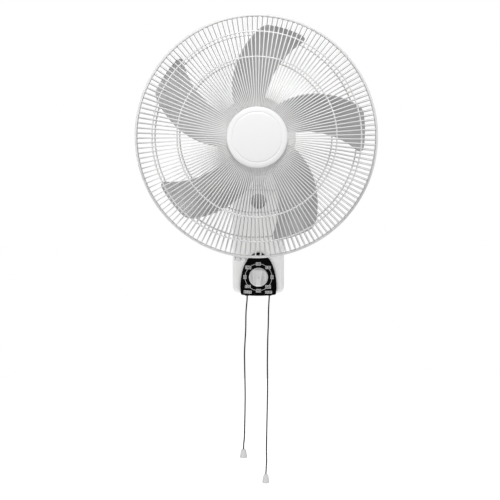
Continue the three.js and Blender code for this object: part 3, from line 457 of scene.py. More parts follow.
band = settle(join("rim_hoop", [hoop, *tabs]))
dress(band, "rim_hoop", white_powder_coat, "head", "white_wire", "rim_band")


def zinc_plate():
    """Zinc plated steel: bluish grey and bright, with cloudy spangle and the fine lines of its rolling."""
    material, shader, place = new_finish("zinc_plated_steel", "#b9bdc1", 0.32, Metallic=1)
    spangle = add_node(
        material, "ShaderNodeTexVoronoi", {"Scale": 1 / 0.004}, {"Vector": place}).outputs["Distance"]
    rolled = add_node(material, "ShaderNodeMapping", {"Scale": (200, 2500, 200)}, {"Vector": place})
    lines = add_node(
        material, "ShaderNodeTexNoise", {"Scale": 1, "Detail": 2}, {"Vector": rolled.outputs["Vector"]})
    return lay_patterns(material, shader, (spangle, linear("#b2b6ba"), linear("#c2c5c8")),
                        (lines.outputs["Fac"], 0.24, 0.42))


zinc_plated_steel = zinc_plate()
dress(lug_screw, "rim_lug_screw", zinc_plated_steel, "head", "steel", "rim_screw")

# ---------------------------------------------------------------- centre cap
# White ABS disc, moulded with a flat flange, a shallow groove and a gently domed middle, left bare. It clips
# through the front guard's plate.
CAP_BACK = RIM_Y - 0.0756
CAP_RINGS = [  # radius and height above the back face, millimetres
    (1, 0), (53.6, 0), (54.6, 0.3), (55, 1.1), (55, 3.4), (54.7, 4.6), (53.9, 5.6), (52.6, 6.3), (50.5, 6.9),
    (47.6, 7.4), (46.3, 7.5), (45.7, 7.2), (45.2, 7.0), (44.7, 7.2), (44.1, 7.8), (42.5, 8.1), (36, 8.7),
    (26, 9.3), (14, 9.8), (5, 9.98), (1, 10),
]
# The cap's white ABS is given a darker grey than the housing's: painted shade that holds down the strong light
# falling straight on its face.
cap_white = moulded("cap_abs_darkened_painted_shade", "#e0e0e0", 0.34, mottle=0.012)
rings = [(radius / 1000, CAP_BACK - height / 1000) for radius, height in CAP_RINGS]
cap = turn(rings, GUARD_AXIS, "Y", 128, angle=50)
dress(cap, "guard_cap", cap_white, "head", "white_plastic", "centre_cap")

# ---------------------------------------------------------------- impeller
# Five wide blades and their hub, moulded in one piece of grey AS resin. The leading edge is the rear one, and
# the blades are thin, cambered and glossy.
SHAFT_AXIS = Vector((-0.007, 0, 0.214))
BLADES, FIRST_TIP, BLADE_Y, BLADE_THICKNESS = 5, -9.9, -0.268, 0.0026
HUB_FRONT = -0.293
# The blade's sizes are in millimetres and degrees: the radii of its root and tip, its depth from front to
# back at both, how far it bulges, and what each edge's corner draws in over which share of the width.
ROOT, TIP, ROOT_DEPTH, TIP_DEPTH, CAMBER = 22, 203, 42, 28, 5
CORNERS = [(0, 0.14, 11), (1, 0.12, 9)]
# The leading edge stands still up to one radius and sweeps back over the reach beyond it, and the trailing
# edge leans evenly through an angle at one radius.
SWEEP, SWEEP_START, SWEEP_REACH, SWEEP_POWER = 13.8, 82, 115, 1.6
TRAIL, TRAIL_RADIUS, TRAIL_LEAN = 25.9, 197, 0.295


def blade_point(across, along):
    """A place on the blade's middle: across from the leading to the trailing edge, along to the tip."""
    drawn_in = 0
    for end, width, depth in CORNERS:
        share = abs(across - end) / width
        if share < 1:
            drawn_in = depth * (1 - math.sqrt(1 - (1 - share) ** 2))
    r = ROOT + (TIP - drawn_in - ROOT) * along
    leading = SWEEP * (1 - min(max((r - SWEEP_START) / SWEEP_REACH, 0), 1) ** SWEEP_POWER)
    trailing = TRAIL + (TRAIL_RADIUS - r) * TRAIL_LEAN
    angle = math.radians(FIRST_TIP + leading + (trailing - leading) * across)
    depth = ROOT_DEPTH + (TIP_DEPTH - ROOT_DEPTH) * (r - ROOT) / (TIP - ROOT)
    bulge = CAMBER * (1 - (2 * across - 1) ** 2)
    y = BLADE_Y + (depth * (0.5 - across) + bulge) / 1000
    return SHAFT_AXIS + Vector((r * math.cos(angle) / 1000, y, r * math.sin(angle) / 1000))


def grey_resin():
    """Tinted AS resin: glossy and faintly translucent, with soft flow clouds from the mould's gate."""
    material, shader, place = new_finish("grey_as_resin", "#adadad", 0.3, IOR=1.56)
    flow = add_node(
        material, "ShaderNodeTexNoise", {"Scale": 11, "Detail": 3, "Distortion": 0.6}, {"Vector": place})
    fine = add_node(material, "ShaderNodeTexNoise", {"Scale": 1 / 0.003, "Detail": 2}, {"Vector": place})
    return lay_patterns(material, shader, (flow.outputs["Fac"], linear("#a8a8a8"), linear("#b2b2b2")),
                        relief=(fine.outputs["Fac"], 0.15, 0.00005))


bpy.ops.mesh.primitive_grid_add(x_subdivisions=36, y_subdivisions=30, size=1)
blade = bpy.context.object
for vertex in blade.data.vertices:
    vertex.co = blade_point(vertex.co.x + 0.5, vertex.co.y + 0.5)
skin = blade.modifiers.new("skin", "SOLIDIFY")
skin.thickness, skin.offset = BLADE_THICKNESS, 0
edge = blade.modifiers.new("round_edges", "BEVEL")
edge.width, edge.segments, edge.limit_method, edge.angle_limit = 0.0009, 3, "ANGLE", math.radians(50)
for modifier in ("skin", "round_edges"):
    bpy.ops.object.modifier_apply(modifier=modifier)
blades = [blade]
for i in range(1, BLADES):
    copy = blade.copy()
    copy.data = blade.data.copy()
    bpy.context.scene.collection.objects.link(copy)
    edit(copy)
    bpy.ops.transform.rotate(
        value=math.tau / BLADES * i, orient_axis="Y", orient_type="GLOBAL",
        center_override=SHAFT_AXIS + Vector((0, BLADE_Y, 0)))
    bpy.ops.object.mode_set(mode="OBJECT")
    blades.append(copy)
hub = turn(
    profile(HUB_FRONT, (4.5, 0), (19.5, 0), (23, 0.6), (25.5, 2.4), (27, 6), (27, 47), (24.5, 47), (24.5, 6),
            (10, 3), (10, 44), (4.5, 44)), SHAFT_AXIS, "Y", 64, closed=True)
wheel = settle(join("fan_wheel", [*blades, hub]))
dress(wheel, "fan_wheel", grey_resin(), "fan_rotor", "grey_blade", "impeller")

# ---------------------------------------------------------------- spinner
# Left-hand nut of white ABS with a rounded nose, which holds the wheel on the shaft.
white_abs = moulded("white_moulded_abs", "#fafaf9", 0.4)
spinner = turn(
    profile(HUB_FRONT - 0.0003, (4.3, 0), (20, 0), (20.8, -0.6), (21, -1.8), (20.4, -7), (19, -13.8),
            (16.8, -18.4), (14, -21.4), (9.5, -23.1), (1, -23.7), (1, -19.5), (4.3, -19.3)),
    SHAFT_AXIS, "Y", 48, closed=True)
dress(spinner, "wheel_nut", white_abs, "fan_rotor", "white_plastic", "spinner")

# ---------------------------------------------------------------- base housing
# Two shells of white ABS with 2.6 mm walls, moulded with soft corners and screwed together from behind. The
# front one bulges down into a chin under the panel, and has a round access hole above it.
HOUSING_HALF, HOUSING_LOW, HOUSING_HIGH = 0.0518, -0.1045, 0.103
HOUSING_FRONT, HOUSING_BACK, SEAM = -0.092, -0.0024, -0.048
WALL = 0.0026
CORNER, FRONT_ROUND, BACK_ROUND = 0.013, 0.009, 0.003
CORD_X = 0.0224
PLUG_Z, PLUG_HOLE = 0.081, 0.0136
SCREW_PLACES = [(-0.042, 0.084), (0.042, 0.084), (-0.042, -0.086), (0.042, -0.086)]
POST, PILOT, BORE, SINK, NECK_HOLE = 0.0045, 0.0023, 0.0021, 0.0036, 0.0172
PANEL_HALF, PANEL_TOP, PANEL_SPRING = 0.0365, -0.0217, -0.0920
PANEL_BOTTOM, PANEL_BOW, PANEL_CORNER = -0.1072, 0.0020, 0.0040


def outline_plate(points, y_back, y_front):
    """A flat plate with the given outline in X and Z. The circle it starts from takes the outline's shape."""
    bpy.ops.mesh.primitive_circle_add(vertices=len(points), radius=0.05, fill_type="NGON")
    plate = bpy.context.object
    for vertex, (x, z) in zip(plate.data.vertices, points):
        vertex.co = (x, y_back, z)
    edit(plate)
    bpy.ops.mesh.extrude_region_move(TRANSFORM_OT_translate={"value": (0, y_front - y_back, 0)})
    bpy.ops.object.mode_set(mode="OBJECT")
    return settle(plate)


def curve_points(a, b, c, steps=12):
    """Points of a curve from a towards c that is drawn towards b."""
    return [tuple((1 - s) ** 2 * p + 2 * s * (1 - s) * q + s * s * r for p, q, r in zip(a, b, c))
            for s in (i / steps for i in range(steps))]


def arc_points(centre, radius, start, end, steps):
    """Points of an arc, with its angles in degrees."""
    return [(centre[0] + radius * math.cos(angle), centre[1] + radius * math.sin(angle))
            for angle in (math.radians(start + (end - start) * i / steps) for i in range(steps + 1))]


def panel_outline(inset, arch_steps=64):
    """Half an ellipse, sides that lean in by a millimetre, rounded corners, and a bottom that bows down."""
    half, low, top = PANEL_HALF - inset, PANEL_BOTTOM + inset, PANEL_TOP - inset
    foot, rise = half - 0.001, top - PANEL_SPRING
    end = (foot, low + PANEL_CORNER)
    return [
        *((x * half, PANEL_SPRING + z * rise) for x, z in arc_points((0, 0), 1, 0, 180, arch_steps)),
        *curve_points((-foot, low + PANEL_CORNER), (-foot + 0.0005, low), (-foot + PANEL_CORNER, low)),
        *curve_points((-foot + PANEL_CORNER, low), (0, low - 2 * PANEL_BOW), (foot - PANEL_CORNER, low)),
        *curve_points((foot - PANEL_CORNER, low), (foot - 0.0005, low), end), end]


def shell(y_back, y_front, inset, back_round, front_round):
    """A block with the housing's outline, rounded at its corners and round one face."""
    body = block(
        (-HOUSING_HALF + inset, HOUSING_HALF - inset), (y_back, y_front),
        (HOUSING_LOW + inset, HOUSING_HIGH - inset))
    round_edges(body, CORNER - inset, 10, lambda middle, way: abs(way.y) > 0.9)
    if front_round:
        round_edges(
            body, front_round, 8, lambda middle, way: abs(middle.y - y_front) < 1e-5 and abs(way.y) < 0.1)
    if back_round:
        round_edges(
            body, back_round, 4, lambda middle, way: abs(middle.y - y_back) < 1e-5 and abs(way.y) < 0.1)
    return body


def at_screws(radius, start, end):
    """A rod at each screw's place, between two places in Y."""
    return [rod(radius, (x, start, z), (x, end, z)) for x, z in SCREW_PLACES]


front_shell = shell(SEAM, HOUSING_FRONT, 0, 0, FRONT_ROUND)
chin = outline_plate(panel_outline(0.001), -0.064, HOUSING_FRONT)
round_edges(chin, 0.0012, 3, lambda middle, way: middle.y < HOUSING_FRONT + 1e-5 and abs(way.y) < 0.1)
hollow = shell(SEAM + 0.01, HOUSING_FRONT + WALL, WALL, 0, FRONT_ROUND - WALL)
plug_hole = rod(PLUG_HOLE, (0, HOUSING_FRONT - 0.01, PLUG_Z), (0, HOUSING_FRONT + 0.01, PLUG_Z), 64)
neck_hole = rod(NECK_HOLE, (0, SEAM, 0.09), (0, SEAM, 0.11))
gland_holes = [
    rod(0.0036, (side * CORD_X, CORD_Y, -0.112), (side * CORD_X, CORD_Y, -0.095)) for side in (-1, 1)]
carve(front_shell, "UNION", [chin])
carve(front_shell, "DIFFERENCE", [hollow, plug_hole, neck_hole, *gland_holes])
carve(front_shell, "UNION", at_screws(POST, SEAM, HOUSING_FRONT + 0.0018))
carve(front_shell, "DIFFERENCE", at_screws(PILOT, SEAM + 0.001, -0.072))
dress(settle(front_shell), "housing_front_shell", white_abs, "base", "white_plastic", "housing_front")

back_shell = shell(HOUSING_BACK, SEAM + 0.0003, 0, BACK_ROUND, 0)
hollow = shell(HOUSING_BACK - WALL, SEAM - 0.01, WALL, BACK_ROUND - 0.0015, 0)
neck_hole = rod(NECK_HOLE, (0, SEAM, 0.09), (0, SEAM, 0.11))
inlet_hole = rod(0.006, (0.030, -0.026, -0.11), (0.030, -0.026, -0.095))
hook_slots = [block((x - 0.007, x + 0.007), (-0.0062, 0.001), (0.032, 0.046)) for x in (-0.024, 0.024)]
carve(back_shell, "DIFFERENCE", [hollow])
carve(back_shell, "UNION", at_screws(POST, HOUSING_BACK - 0.0003, SEAM + 0.0006))
bores, sinks = at_screws(BORE, 0.001, SEAM - 0.001), at_screws(SINK, 0.001, -0.032)
carve(back_shell, "DIFFERENCE", [neck_hole, inlet_hole, *hook_slots, *bores, *sinks])
dress(settle(back_shell), "housing_back_shell", white_abs, "base", "white_plastic", "housing_back")

# ---------------------------------------------------------------- control panel
# Plate of black ABS, moulded in a polished tool and clipped on the front of the housing, with the timer's
# dial and the two cords' marks pad printed on it in light grey ink.
PANEL_BACK, PANEL_FRONT = -0.0923, -0.0966
KNOB_Z = -0.0711


def piano_black():
    """Polished black ABS: a hard gloss over near black, with hardly visible hairlines from dusting."""
    material, shader, place = new_finish(
        "polished_black_abs", "#020202", 0.1, IOR=1.5, Specular_IOR_Level=0.03)
    wiped = add_node(material, "ShaderNodeMapping", {"Scale": (300, 300, 3000)}, {"Vector": place})
    hair = add_node(material, "ShaderNodeTexNoise", {"Scale": 1, "Detail": 2},
                    {"Vector": wiped.outputs["Vector"]}).outputs["Fac"]
    return lay_patterns(
        material, shader, (hair, linear("#010101"), linear("#040404")), (hair, 0.08, 0.2, 0.45, 0.75))


panel = outline_plate(panel_outline(0), PANEL_BACK, PANEL_FRONT)
round_edges(panel, 0.0009, 4, lambda middle, way: middle.y < PANEL_FRONT + 1e-5 and abs(way.y) < 0.1)
carve(panel, "DIFFERENCE", [rod(0.006, (0, -0.10, KNOB_Z), (0, -0.085, KNOB_Z))])
dress(settle(panel), "control_panel_plate", piano_black(), "base", "black_gloss", "control_panel")

# ---------------------------------------------------------------- timer knob
# Round knob of light grey ABS with a thin skirt. Two hollows for the fingers leave a bridge across its face
# that is wide at the top and narrow at the bottom. It presses on the timer's spindle.
KNOB_BACK, KNOB_FACE = -0.0972, -0.1122
knob = turn(
    profile(KNOB_BACK, (3.6, 0), (18.5, 0), (19.1, -0.5), (19.1, -2), (18.7, -2.6), (18.1, -3), (17.6, -3.8),
            (16.7, -12.8), (16.3, -14), (15.6, -14.7), (14.7, -15), (1, -15), (1, -7), (3.6, -7)),
    (0, 0, KNOB_Z), "Y", 96, closed=True)
scoops = []
for middle, lean in ((-0.0106, 0), (0.0110, 8.8)):
    bpy.ops.mesh.primitive_uv_sphere_add(
        segments=64, ring_count=32, radius=1, location=(middle, KNOB_FACE, KNOB_Z),
        rotation=(0, math.radians(lean), 0), scale=(0.0061, 0.0105, 0.0195))
    bpy.ops.object.transform_apply()
    scoops.append(bpy.context.object)
carve(knob, "DIFFERENCE", scoops)
knob_abs = moulded("knob_moulded_abs", "#e4e4e4", 0.38)
dress(settle(knob), "timer_dial_knob", knob_abs, "timer_dial", "knob_grey", "timer_knob")

# ---------------------------------------------------------------- cord glands
# Two bushes of black PA 6 that snap into the underside and let the cords slide.
black_pa = moulded("black_moulded_pa6", "#101011", 0.55, shine=0.15)
for name, side in (("speed", -1), ("swing", 1)):
    gland = turn(
        profile(0, (1.9, -98), (3.2, -98), (3.3, -98.6), (3.3, -108.1), (4.3, -108.1), (4.6, -108.5),
                (4.6, -110.3), (4.2, -110.9), (2.8, -111), (1.9, -110.4)),
        (side * CORD_X, CORD_Y, 0), "Z", 32, closed=True)
    dress(gland, f"{name}_cord_bush", black_pa, "base", "dark_plastic", f"{name}_cord_gland")

# ---------------------------------------------------------------- access plug
# Round plug of black PA 6 with a dished face, pressed into the hole in front of the swing arm.
plug = turn(
    profile(HOUSING_FRONT, (1, -1.2), (11.6, -1.2), (12.2, -1.4), (12.8, -1.9), (13.2, -2), (14.2, -2),
            (14.7, -1.8), (15, -1.3), (15, -0.3), (13.3, -0.3), (13.3, 5.4), (12.9, 6), (11.8, 6),
            (11.8, 0.6), (1, 0.6)),
    (0, 0, PLUG_Z), "Y", 72)
dress(plug, "access_hole_plug", black_pa, "base", "dark_plastic", "access_plug")

# ---------------------------------------------------------------- dial print
# Timer marks and the two cords' marks: light grey tags with dark figures, joined by a thin ring round the
# knob, all pad printed on the panel.
INK = 0.00003
WORD_WIDTH, WORD_HEIGHT = 0.84, 0.72  # shares of the tag
TAGS = [  # figures, place in X and Z, width, height in millimetres, and lean in degrees
    ("OFF", (-0.3, -44.7), (10.2, 6.9), 0), ("180", (-20.6, -51.7), (11.9, 7.0), -5),
    ("15", (19.1, -51.8), (10.9, 6.4), 0), ("150", (-27.0, -70.9), (6.4, 7.8), 0),
    ("30", (27.2, -71.2), (6.2, 7.8), 0), ("120", (-21.2, -90.1), (11.4, 6.0), 0),
    ("60", (19.4, -90.9), (11.4, 7.0), 0), ("90", (0.1, -98.8), (10.0, 6.8), 0),
    ("0 1 2 3", (-21.8, -101.2), (16.0, 6.0), -4), ("ON OFF", (20.4, -101.7), (13.8, 5.5), 0),
]
RING_MIDDLE, RING_RADIUS, RING_WIDTH = -0.0714, 27, 0.9


def printed_ink(name, dark, light):
    """Pad printed ink: matt and thin, with the faint mottle of the pad."""
    material, shader, place = new_finish(name, dark, 0.6)
    mottle = add_node(material, "ShaderNodeTexNoise", {"Scale": 1 / 0.0012, "Detail": 2}, {"Vector": place})
    return lay_patterns(material, shader, (mottle.outputs["Fac"], linear(dark), linear(light)))


tags, figures = [], []
for words, (x, z), (width, height), lean in TAGS:
    tag = block((-width / 2000, width / 2000), (-INK, INK), (-height / 2000, height / 2000))
    round_edges(tag, 0.0009, 4, lambda middle, way: abs(way.y) > 0.9)
    tag.rotation_euler = (0, math.radians(-lean), 0)
    tag.location = (x / 1000, PANEL_FRONT - 3 * INK, z / 1000)
    tags.append(tag)
    bpy.ops.object.text_add(rotation=(math.pi / 2, 0, 0))
    figure = bpy.context.object
    figure.data.body, figure.data.align_x, figure.data.align_y = words, "CENTER", "CENTER"
    figure.data.extrude, figure.data.offset = 0.01, 0.012
    bpy.ops.object.convert(target="MESH")
    bpy.ops.object.transform_apply()
    wide, thick, high = figure.dimensions
    figure.scale = (WORD_WIDTH * width / 1000 / wide, INK / thick, WORD_HEIGHT * height / 1000 / high)
    bpy.ops.object.origin_set(type="ORIGIN_GEOMETRY", center="BOUNDS")
    figure.rotation_euler = (0, math.radians(-lean), 0)
    figure.location = (x / 1000, PANEL_FRONT - 5 * INK, z / 1000)
    figures.append(figure)
inner, outer = RING_RADIUS - RING_WIDTH / 2, RING_RADIUS + RING_WIDTH / 2
back, front = -500 * INK, -1000 * INK
dial_ring = turn(
    profile(PANEL_FRONT, (inner, back), (outer, back), (outer, front), (inner, front)),
    (0, 0, RING_MIDDLE), "Y", 120, closed=True)
light_ink = printed_ink("light_grey_print", "#bcbcbc", "#c6c6c6")
dark_ink = printed_ink("dark_print", "#4a4a4a", "#565656")
dress(settle(join("dial_tags", tags)), "dial_tags", light_ink, "base", "knob_grey")
dress(dial_ring, "dial_ring", light_ink, "base", "knob_grey")
dress(settle(join("dial_figures", figures)), "dial_figures", dark_ink, "base", "dark_plastic")

# ---------------------------------------------------------------- neck
# The yoke is one moulding of white glass filled PA: a spindle and a turntable that swing in a nylon bush, and
# two ears for the tilt pin. The pin is zinc plated, and a lobed knob on its right end clamps the ears.
natural_pa = moulded("natural_pa66", "#e6dfce", 0.5)
bush = turn(
    profile(0, (12.3, 97.6), (16.2, 97.6), (16.7, 98.1), (16.7, 103.3), (20, 103.3), (20, 104.6), (19.6, 105),
            (12.3, 105)), (0, SEAM, 0), "Z", 48, closed=True)
dress(bush, "swing_bush", natural_pa, "base", "nylon", "neck_bush")

TILT_Y, TILT_Z, PIN_HOLE = -0.088, 0.124, 0.0043
EAR_INNER, EAR_OUTER, EAR_ROUND = 0.0133, 0.0360, 0.019


def side_plate(points, left, right, edge):
    """A plate with the given outline in Y and Z, between two places in X, with bevelled edges."""
    plate = outline_plate(points, -left, -right)
    plate.rotation_euler = (0, 0, math.pi / 2)
    return round_edges(
        settle(plate), edge, 3,
        lambda middle, way: min(abs(middle.x - left), abs(middle.x - right)) < 1e-5 and abs(way.x) < 0.1)


def pin_hole(start, end):
    """Cutter for the hole of the tilt pin, between two places in X."""
    return rod(PIN_HOLE, (start, TILT_Y, TILT_Z), (end, TILT_Y, TILT_Z))


yoke = turn(
    profile(0, (1, 88.3), (11.4, 88.3), (12, 88.9), (12, 105.3), (33, 105.3), (40.4, 105.9), (41.5, 106.5),
            (42, 107.5), (41.7, 108.2), (40.9, 108.8), (39.6, 109), (1, 109)), (0, SEAM, 0), "Z", 96)
ear_outline = [
    *curve_points((-0.040, 0.1056), (-0.048, TILT_Z), (TILT_Y + 0.012, TILT_Z + 0.0147)),
    *arc_points((TILT_Y, TILT_Z), EAR_ROUND, 63, 198, 28), (-0.103, 0.1056)]
shelf = block((-0.035, 0.035), (-0.101, SEAM), (0.1056, 0.1089))
round_edges(shelf, 0.0012, 3, lambda middle, way: abs(middle.y + 0.101) < 1e-5)
ears = [side_plate(ear_outline, *ends, 0.0016) for ends in ((-EAR_OUTER, -EAR_INNER), (EAR_INNER, EAR_OUTER))]
carve(yoke, "UNION", [shelf, *ears])
carve(yoke, "DIFFERENCE", [pin_hole(-0.06, 0.06), rod(0.0028, (0, SEAM, 0.087), (0, SEAM, 0.099))])
dress(settle(yoke), "yoke", white_abs, "neck", "white_plastic", "neck_yoke")

pin = turn(
    profile(0, (1, -41), (5.8, -40.9), (6.6, -40.5), (7, -39.8), (7, -36.4), (4, -36.4), (4, 45.2), (3.2, 46),
            (1, 46)), (0, TILT_Y, TILT_Z), "X", 40)
dress(pin, "tilt_pivot_pin", zinc_plated_steel, "neck", "steel", "tilt_pin")

CLAMP_INNER, CLAMP_OUTER, CLAMP_RADIUS = 0.0364, 0.0500, 0.011
LOBES, LOBE_RADIUS, LOBE_PLACE = 5, 0.004, 0.010
clamp = turn(
    [(0.0010, CLAMP_INNER), (0.0104, CLAMP_INNER), (CLAMP_RADIUS, CLAMP_INNER + 0.0006),
     (CLAMP_RADIUS, CLAMP_OUTER - 0.0012), (0.0106, CLAMP_OUTER - 0.0004), (0.0098, CLAMP_OUTER),
     (0.0010, CLAMP_OUTER)], (0, TILT_Y, TILT_Z), "X", 48)
lobes = []
for angle in (math.tau * i / LOBES for i in range(LOBES)):
    lobes.append(turn(
        [(0.0010, CLAMP_INNER + 0.004), (LOBE_RADIUS - 0.0006, CLAMP_INNER + 0.004),
         (LOBE_RADIUS, CLAMP_INNER + 0.0046), (LOBE_RADIUS, CLAMP_OUTER - 0.0014),
         (LOBE_RADIUS - 0.0004, CLAMP_OUTER - 0.0008), (LOBE_RADIUS - 0.0012, CLAMP_OUTER - 0.0004),
         (0.0010, CLAMP_OUTER - 0.0004)],
        (0, TILT_Y + LOBE_PLACE * math.cos(angle), TILT_Z + LOBE_PLACE * math.sin(angle)), "X", 24))
carve(clamp, "UNION", lobes)
carve(clamp, "DIFFERENCE", [pin_hole(CLAMP_INNER - 0.001, 0.0466)])
dress(settle(clamp), "tilt_clamp_knob", white_abs, "tilt_clamp", "white_plastic", "tilt_knob")

# ---------------------------------------------------------------- tilt bracket and motor casing
# The bracket and the motor's front shell are die cast in aluminium and sprayed light grey. The rear shell is
# a moulding of white ABS with cooling slots. A ring nut of black PA clamps the rear guard on the front shell.
MOTOR_RADIUS, MOTOR_BACK, MOTOR_FRONT = 0.064, -0.076, -0.204


def sprayed_casting():
    """Die cast aluminium under grey enamel: satin, with the slight waviness and pits of the casting."""
    material, shader, place = new_finish("sprayed_die_casting", "#c9c9c7", 0.42)
    pits = add_node(material, "ShaderNodeTexNoise", {"Scale": 1 / 0.0016, "Detail": 4}, {"Vector": place})
    wave = add_node(material, "ShaderNodeTexNoise", {"Scale": 1 / 0.02, "Detail": 2}, {"Vector": place})
    return lay_patterns(material, shader, (wave.outputs["Fac"], linear("#c3c3c1"), linear("#cececc")),
                        relief=(pits.outputs["Fac"], 0.35, 0.0001))


enamelled_casting = sprayed_casting()
tongue_outline = [*arc_points((TILT_Y, TILT_Z), 0.014, 171, 378, 40), (-0.060, 0.158), (-0.138, 0.158)]
bracket = side_plate(tongue_outline, -0.0108, 0.0108, 0.0015)
saddle = block((-0.036, 0.028), (-0.136, -0.094), (0.1444, 0.160))
round_edges(
    saddle, 0.0022, 3,
    lambda middle, way: middle.z < 0.1589 and abs(middle.z - 0.1522) > 0.001 or abs(way.z) > 0.9)
rib = block((-0.032, 0.024), (-0.136, -0.112), (0.138, 0.150))
round_edges(rib, 0.0022, 3, lambda middle, way: abs(middle.z - 0.138) < 1e-5 or abs(way.z) > 0.9)
carve(bracket, "UNION", [saddle, rib])
motor_space = rod(
    MOTOR_RADIUS + 0.0005, SHAFT_AXIS + Vector((0, -0.220, 0)), SHAFT_AXIS + Vector((0, -0.040, 0)), 96)
carve(bracket, "DIFFERENCE", [motor_space, pin_hole(-0.06, 0.06)])
dress(settle(bracket), "tilt_bracket_casting", enamelled_casting, "head", "cast_metal", "tilt_bracket")


def cooling_slots(count, inner, outer, width, back, front):
    """Cutters for a ring of slots round the motor's axis, as one mesh."""
    middle, depth, bars = (inner + outer) / 2, (back + front) / 2, []
    for angle in (math.tau * (i + 0.5) / count for i in range(count)):
        bpy.ops.mesh.primitive_cube_add(
            size=1, rotation=(0, -angle, 0), scale=(outer - inner, abs(back - front), width),
            location=SHAFT_AXIS + Vector((middle * math.cos(angle), depth, middle * math.sin(angle))))
        bars.append(bpy.context.object)
    return settle(join("slots", bars))


rear_casing = turn(
    profile(MOTOR_BACK, (64, -65.7), (64, -18), (63.7, -14.5), (62.5, -11), (60.2, -7.8), (56.6, -4.8),
            (51.8, -2.4), (46, -0.7), (40, 0), (6, 0), (6, -2.6), (9.3, -2.6), (9.3, -18), (13, -18),
            (13, -4.1), (42, -4.1), (50, -6), (56, -9.5), (60, -14), (61.4, -20), (61.4, -65.7)),
    SHAFT_AXIS, "Y", 120, closed=True)
carve(rear_casing, "DIFFERENCE", [cooling_slots(24, 0.024, 0.048, 0.0026, -0.070, -0.086)])
dress(settle(rear_casing), "motor_rear_casing", white_abs, "head", "white_plastic", "motor_rear_shell")

front_casing = turn(
    profile(MOTOR_FRONT, (64, 62), (61.4, 62), (61.4, 13), (59, 8), (52, 3.6), (13, 3.6), (13, 8), (9.3, 8),
            (9.3, -14), (6, -14), (6, -17), (16.4, -17), (17, -16.4), (17, 0), (50, 0), (56, 1.2), (60.4, 4),
            (63, 8), (64, 14)), SHAFT_AXIS, "Y", 120, closed=True)
carve(front_casing, "DIFFERENCE", [cooling_slots(16, 0.022, 0.046, 0.0030, -0.207, -0.196)])
dress(
    settle(front_casing), "motor_front_casting", enamelled_casting, "head", "cast_metal", "motor_front_shell")

GRIPS, GRIP_RADIUS, GRIP_PLACE = 12, 0.0030, 0.0334
ring_nut = turn(
    profile(-0.2104, (17.3, 0), (30.6, 0), (31.5, -0.5), (32, -1.6), (30.6, -8), (30, -8.6), (17.3, -8.6)),
    SHAFT_AXIS, "Y", 96, closed=True)
grips = []
for angle in (math.tau * i / GRIPS for i in range(GRIPS)):
    spot = SHAFT_AXIS + Vector((GRIP_PLACE * math.cos(angle), 0, GRIP_PLACE * math.sin(angle)))
    grips.append(rod(GRIP_RADIUS, spot + Vector((0, -0.225, 0)), spot + Vector((0, -0.205, 0)), 20))
carve(ring_nut, "DIFFERENCE", grips)
dress(settle(ring_nut), "guard_ring_nut", black_pa, "head", "dark_plastic", "guard_nut")

# ---------------------------------------------------------------- mains inlet
# Bush of black PA 6 under the housing, where the mains lead goes in.
inlet = turn(
    profile(0, (3.4, -112), (7, -112), (7.7, -111.7), (8.2, -111.2), (8.4, -110.3), (8.4, -104.8),
            (5.7, -104.8), (5.7, -96.6), (5.2, -96), (3.4, -96)), (0.030, -0.026, 0), "Z", 40, closed=True)
dress(inlet, "mains_inlet_bush", black_pa, "base", "dark_plastic", "mains_inlet_gland")

# ---------------------------------------------------------------- parts inside and behind
# The wall plate, the screws, the switches, the timer, the swing drive and the motor's inner parts keep the
# model's own shapes, and get the finish of what they are made of.


def core_plates():
    """A stack of 0.5 mm electrical steel plates: dark oxide, with a line at each edge, drawn 1.5 mm apart."""
    material, shader, place = new_finish("laminated_core_steel", "#6d7073", 0.45, Metallic=1)
    edges = add_node(
        material, "ShaderNodeTexWave", {"Scale": 1 / (0.0015 * WAVE_RATE), "bands_direction": "Y"},
        {"Vector": place}).outputs["Fac"]
    return lay_patterns(
        material, shader, (edges, linear("#565a5e"), linear("#7b7e81")), relief=(edges, 0.5, 0.0001))


def winding_wire():
    """Enamelled copper wire wound round the motor's axis: red brown and bright, a groove at each turn, with
    painted shade in each groove and a painted highlight on each turn.
    """
    material, shader, place = new_finish("enamelled_copper_wire", "#a35a34", 0.3, Metallic=1)
    centred = add_node(material, "ShaderNodeMapping", {"Location": -SHAFT_AXIS}, {"Vector": place})
    turns = add_node(
        material, "ShaderNodeTexWave",
        {"wave_type": "RINGS", "rings_direction": "Y", "Scale": 1 / (0.0009 * WAVE_RATE), "Distortion": 0.6},
        {"Vector": centred.outputs["Vector"]}).outputs["Fac"]
    # The tone follows the turns: painted shade in the grooves and a painted highlight on the turns' crowns.
    return lay_patterns(
        material, shader, (turns, linear("#7d3f22"), linear("#b8683d")), relief=(turns, 0.7, 0.0002))


def ground_steel():
    """Ground bearing and shaft steel: bright, with fine grinding lines round the piece."""
    material, shader, place = new_finish("ground_steel", "#c4c6c8", 0.2, Metallic=1)
    ground = add_node(material, "ShaderNodeMapping", {"Scale": (150, 3000, 150)}, {"Vector": place})
    lines = add_node(material, "ShaderNodeTexNoise", {"Scale": 1, "Detail": 2},
                     {"Vector": ground.outputs["Vector"]}).outputs["Fac"]
    return lay_patterns(material, shader, gloss=(lines, 0.14, 0.3), relief=(lines, 0.2, 0.00003))


INNER_PARTS = [
    (zinc_plated_steel, [
        "wall_plate", "housing_screw_1", "housing_screw_2", "housing_screw_3", "housing_screw_4",
        "timer_spindle", "speed_spring", "swing_spring", "swing_motor", "swing_arm", "swing_arm_screw"]),
    (black_pa, ["timer_unit", "speed_switch", "swing_switch", "run_capacitor"]),
    (natural_pa, ["speed_plunger", "swing_plunger", "terminal_block", "swing_crank"]),
    (core_plates(), ["stator_core", "rotor"]),
    (winding_wire(), ["winding_rear", "winding_front"]),
    (ground_steel(), ["rear_bearing", "front_bearing", "motor_shaft"]),
]
for finish, names in INNER_PARTS:
    for name in names:
        for material_slot in nodes[name].material_slots:
            material_slot.material = finish

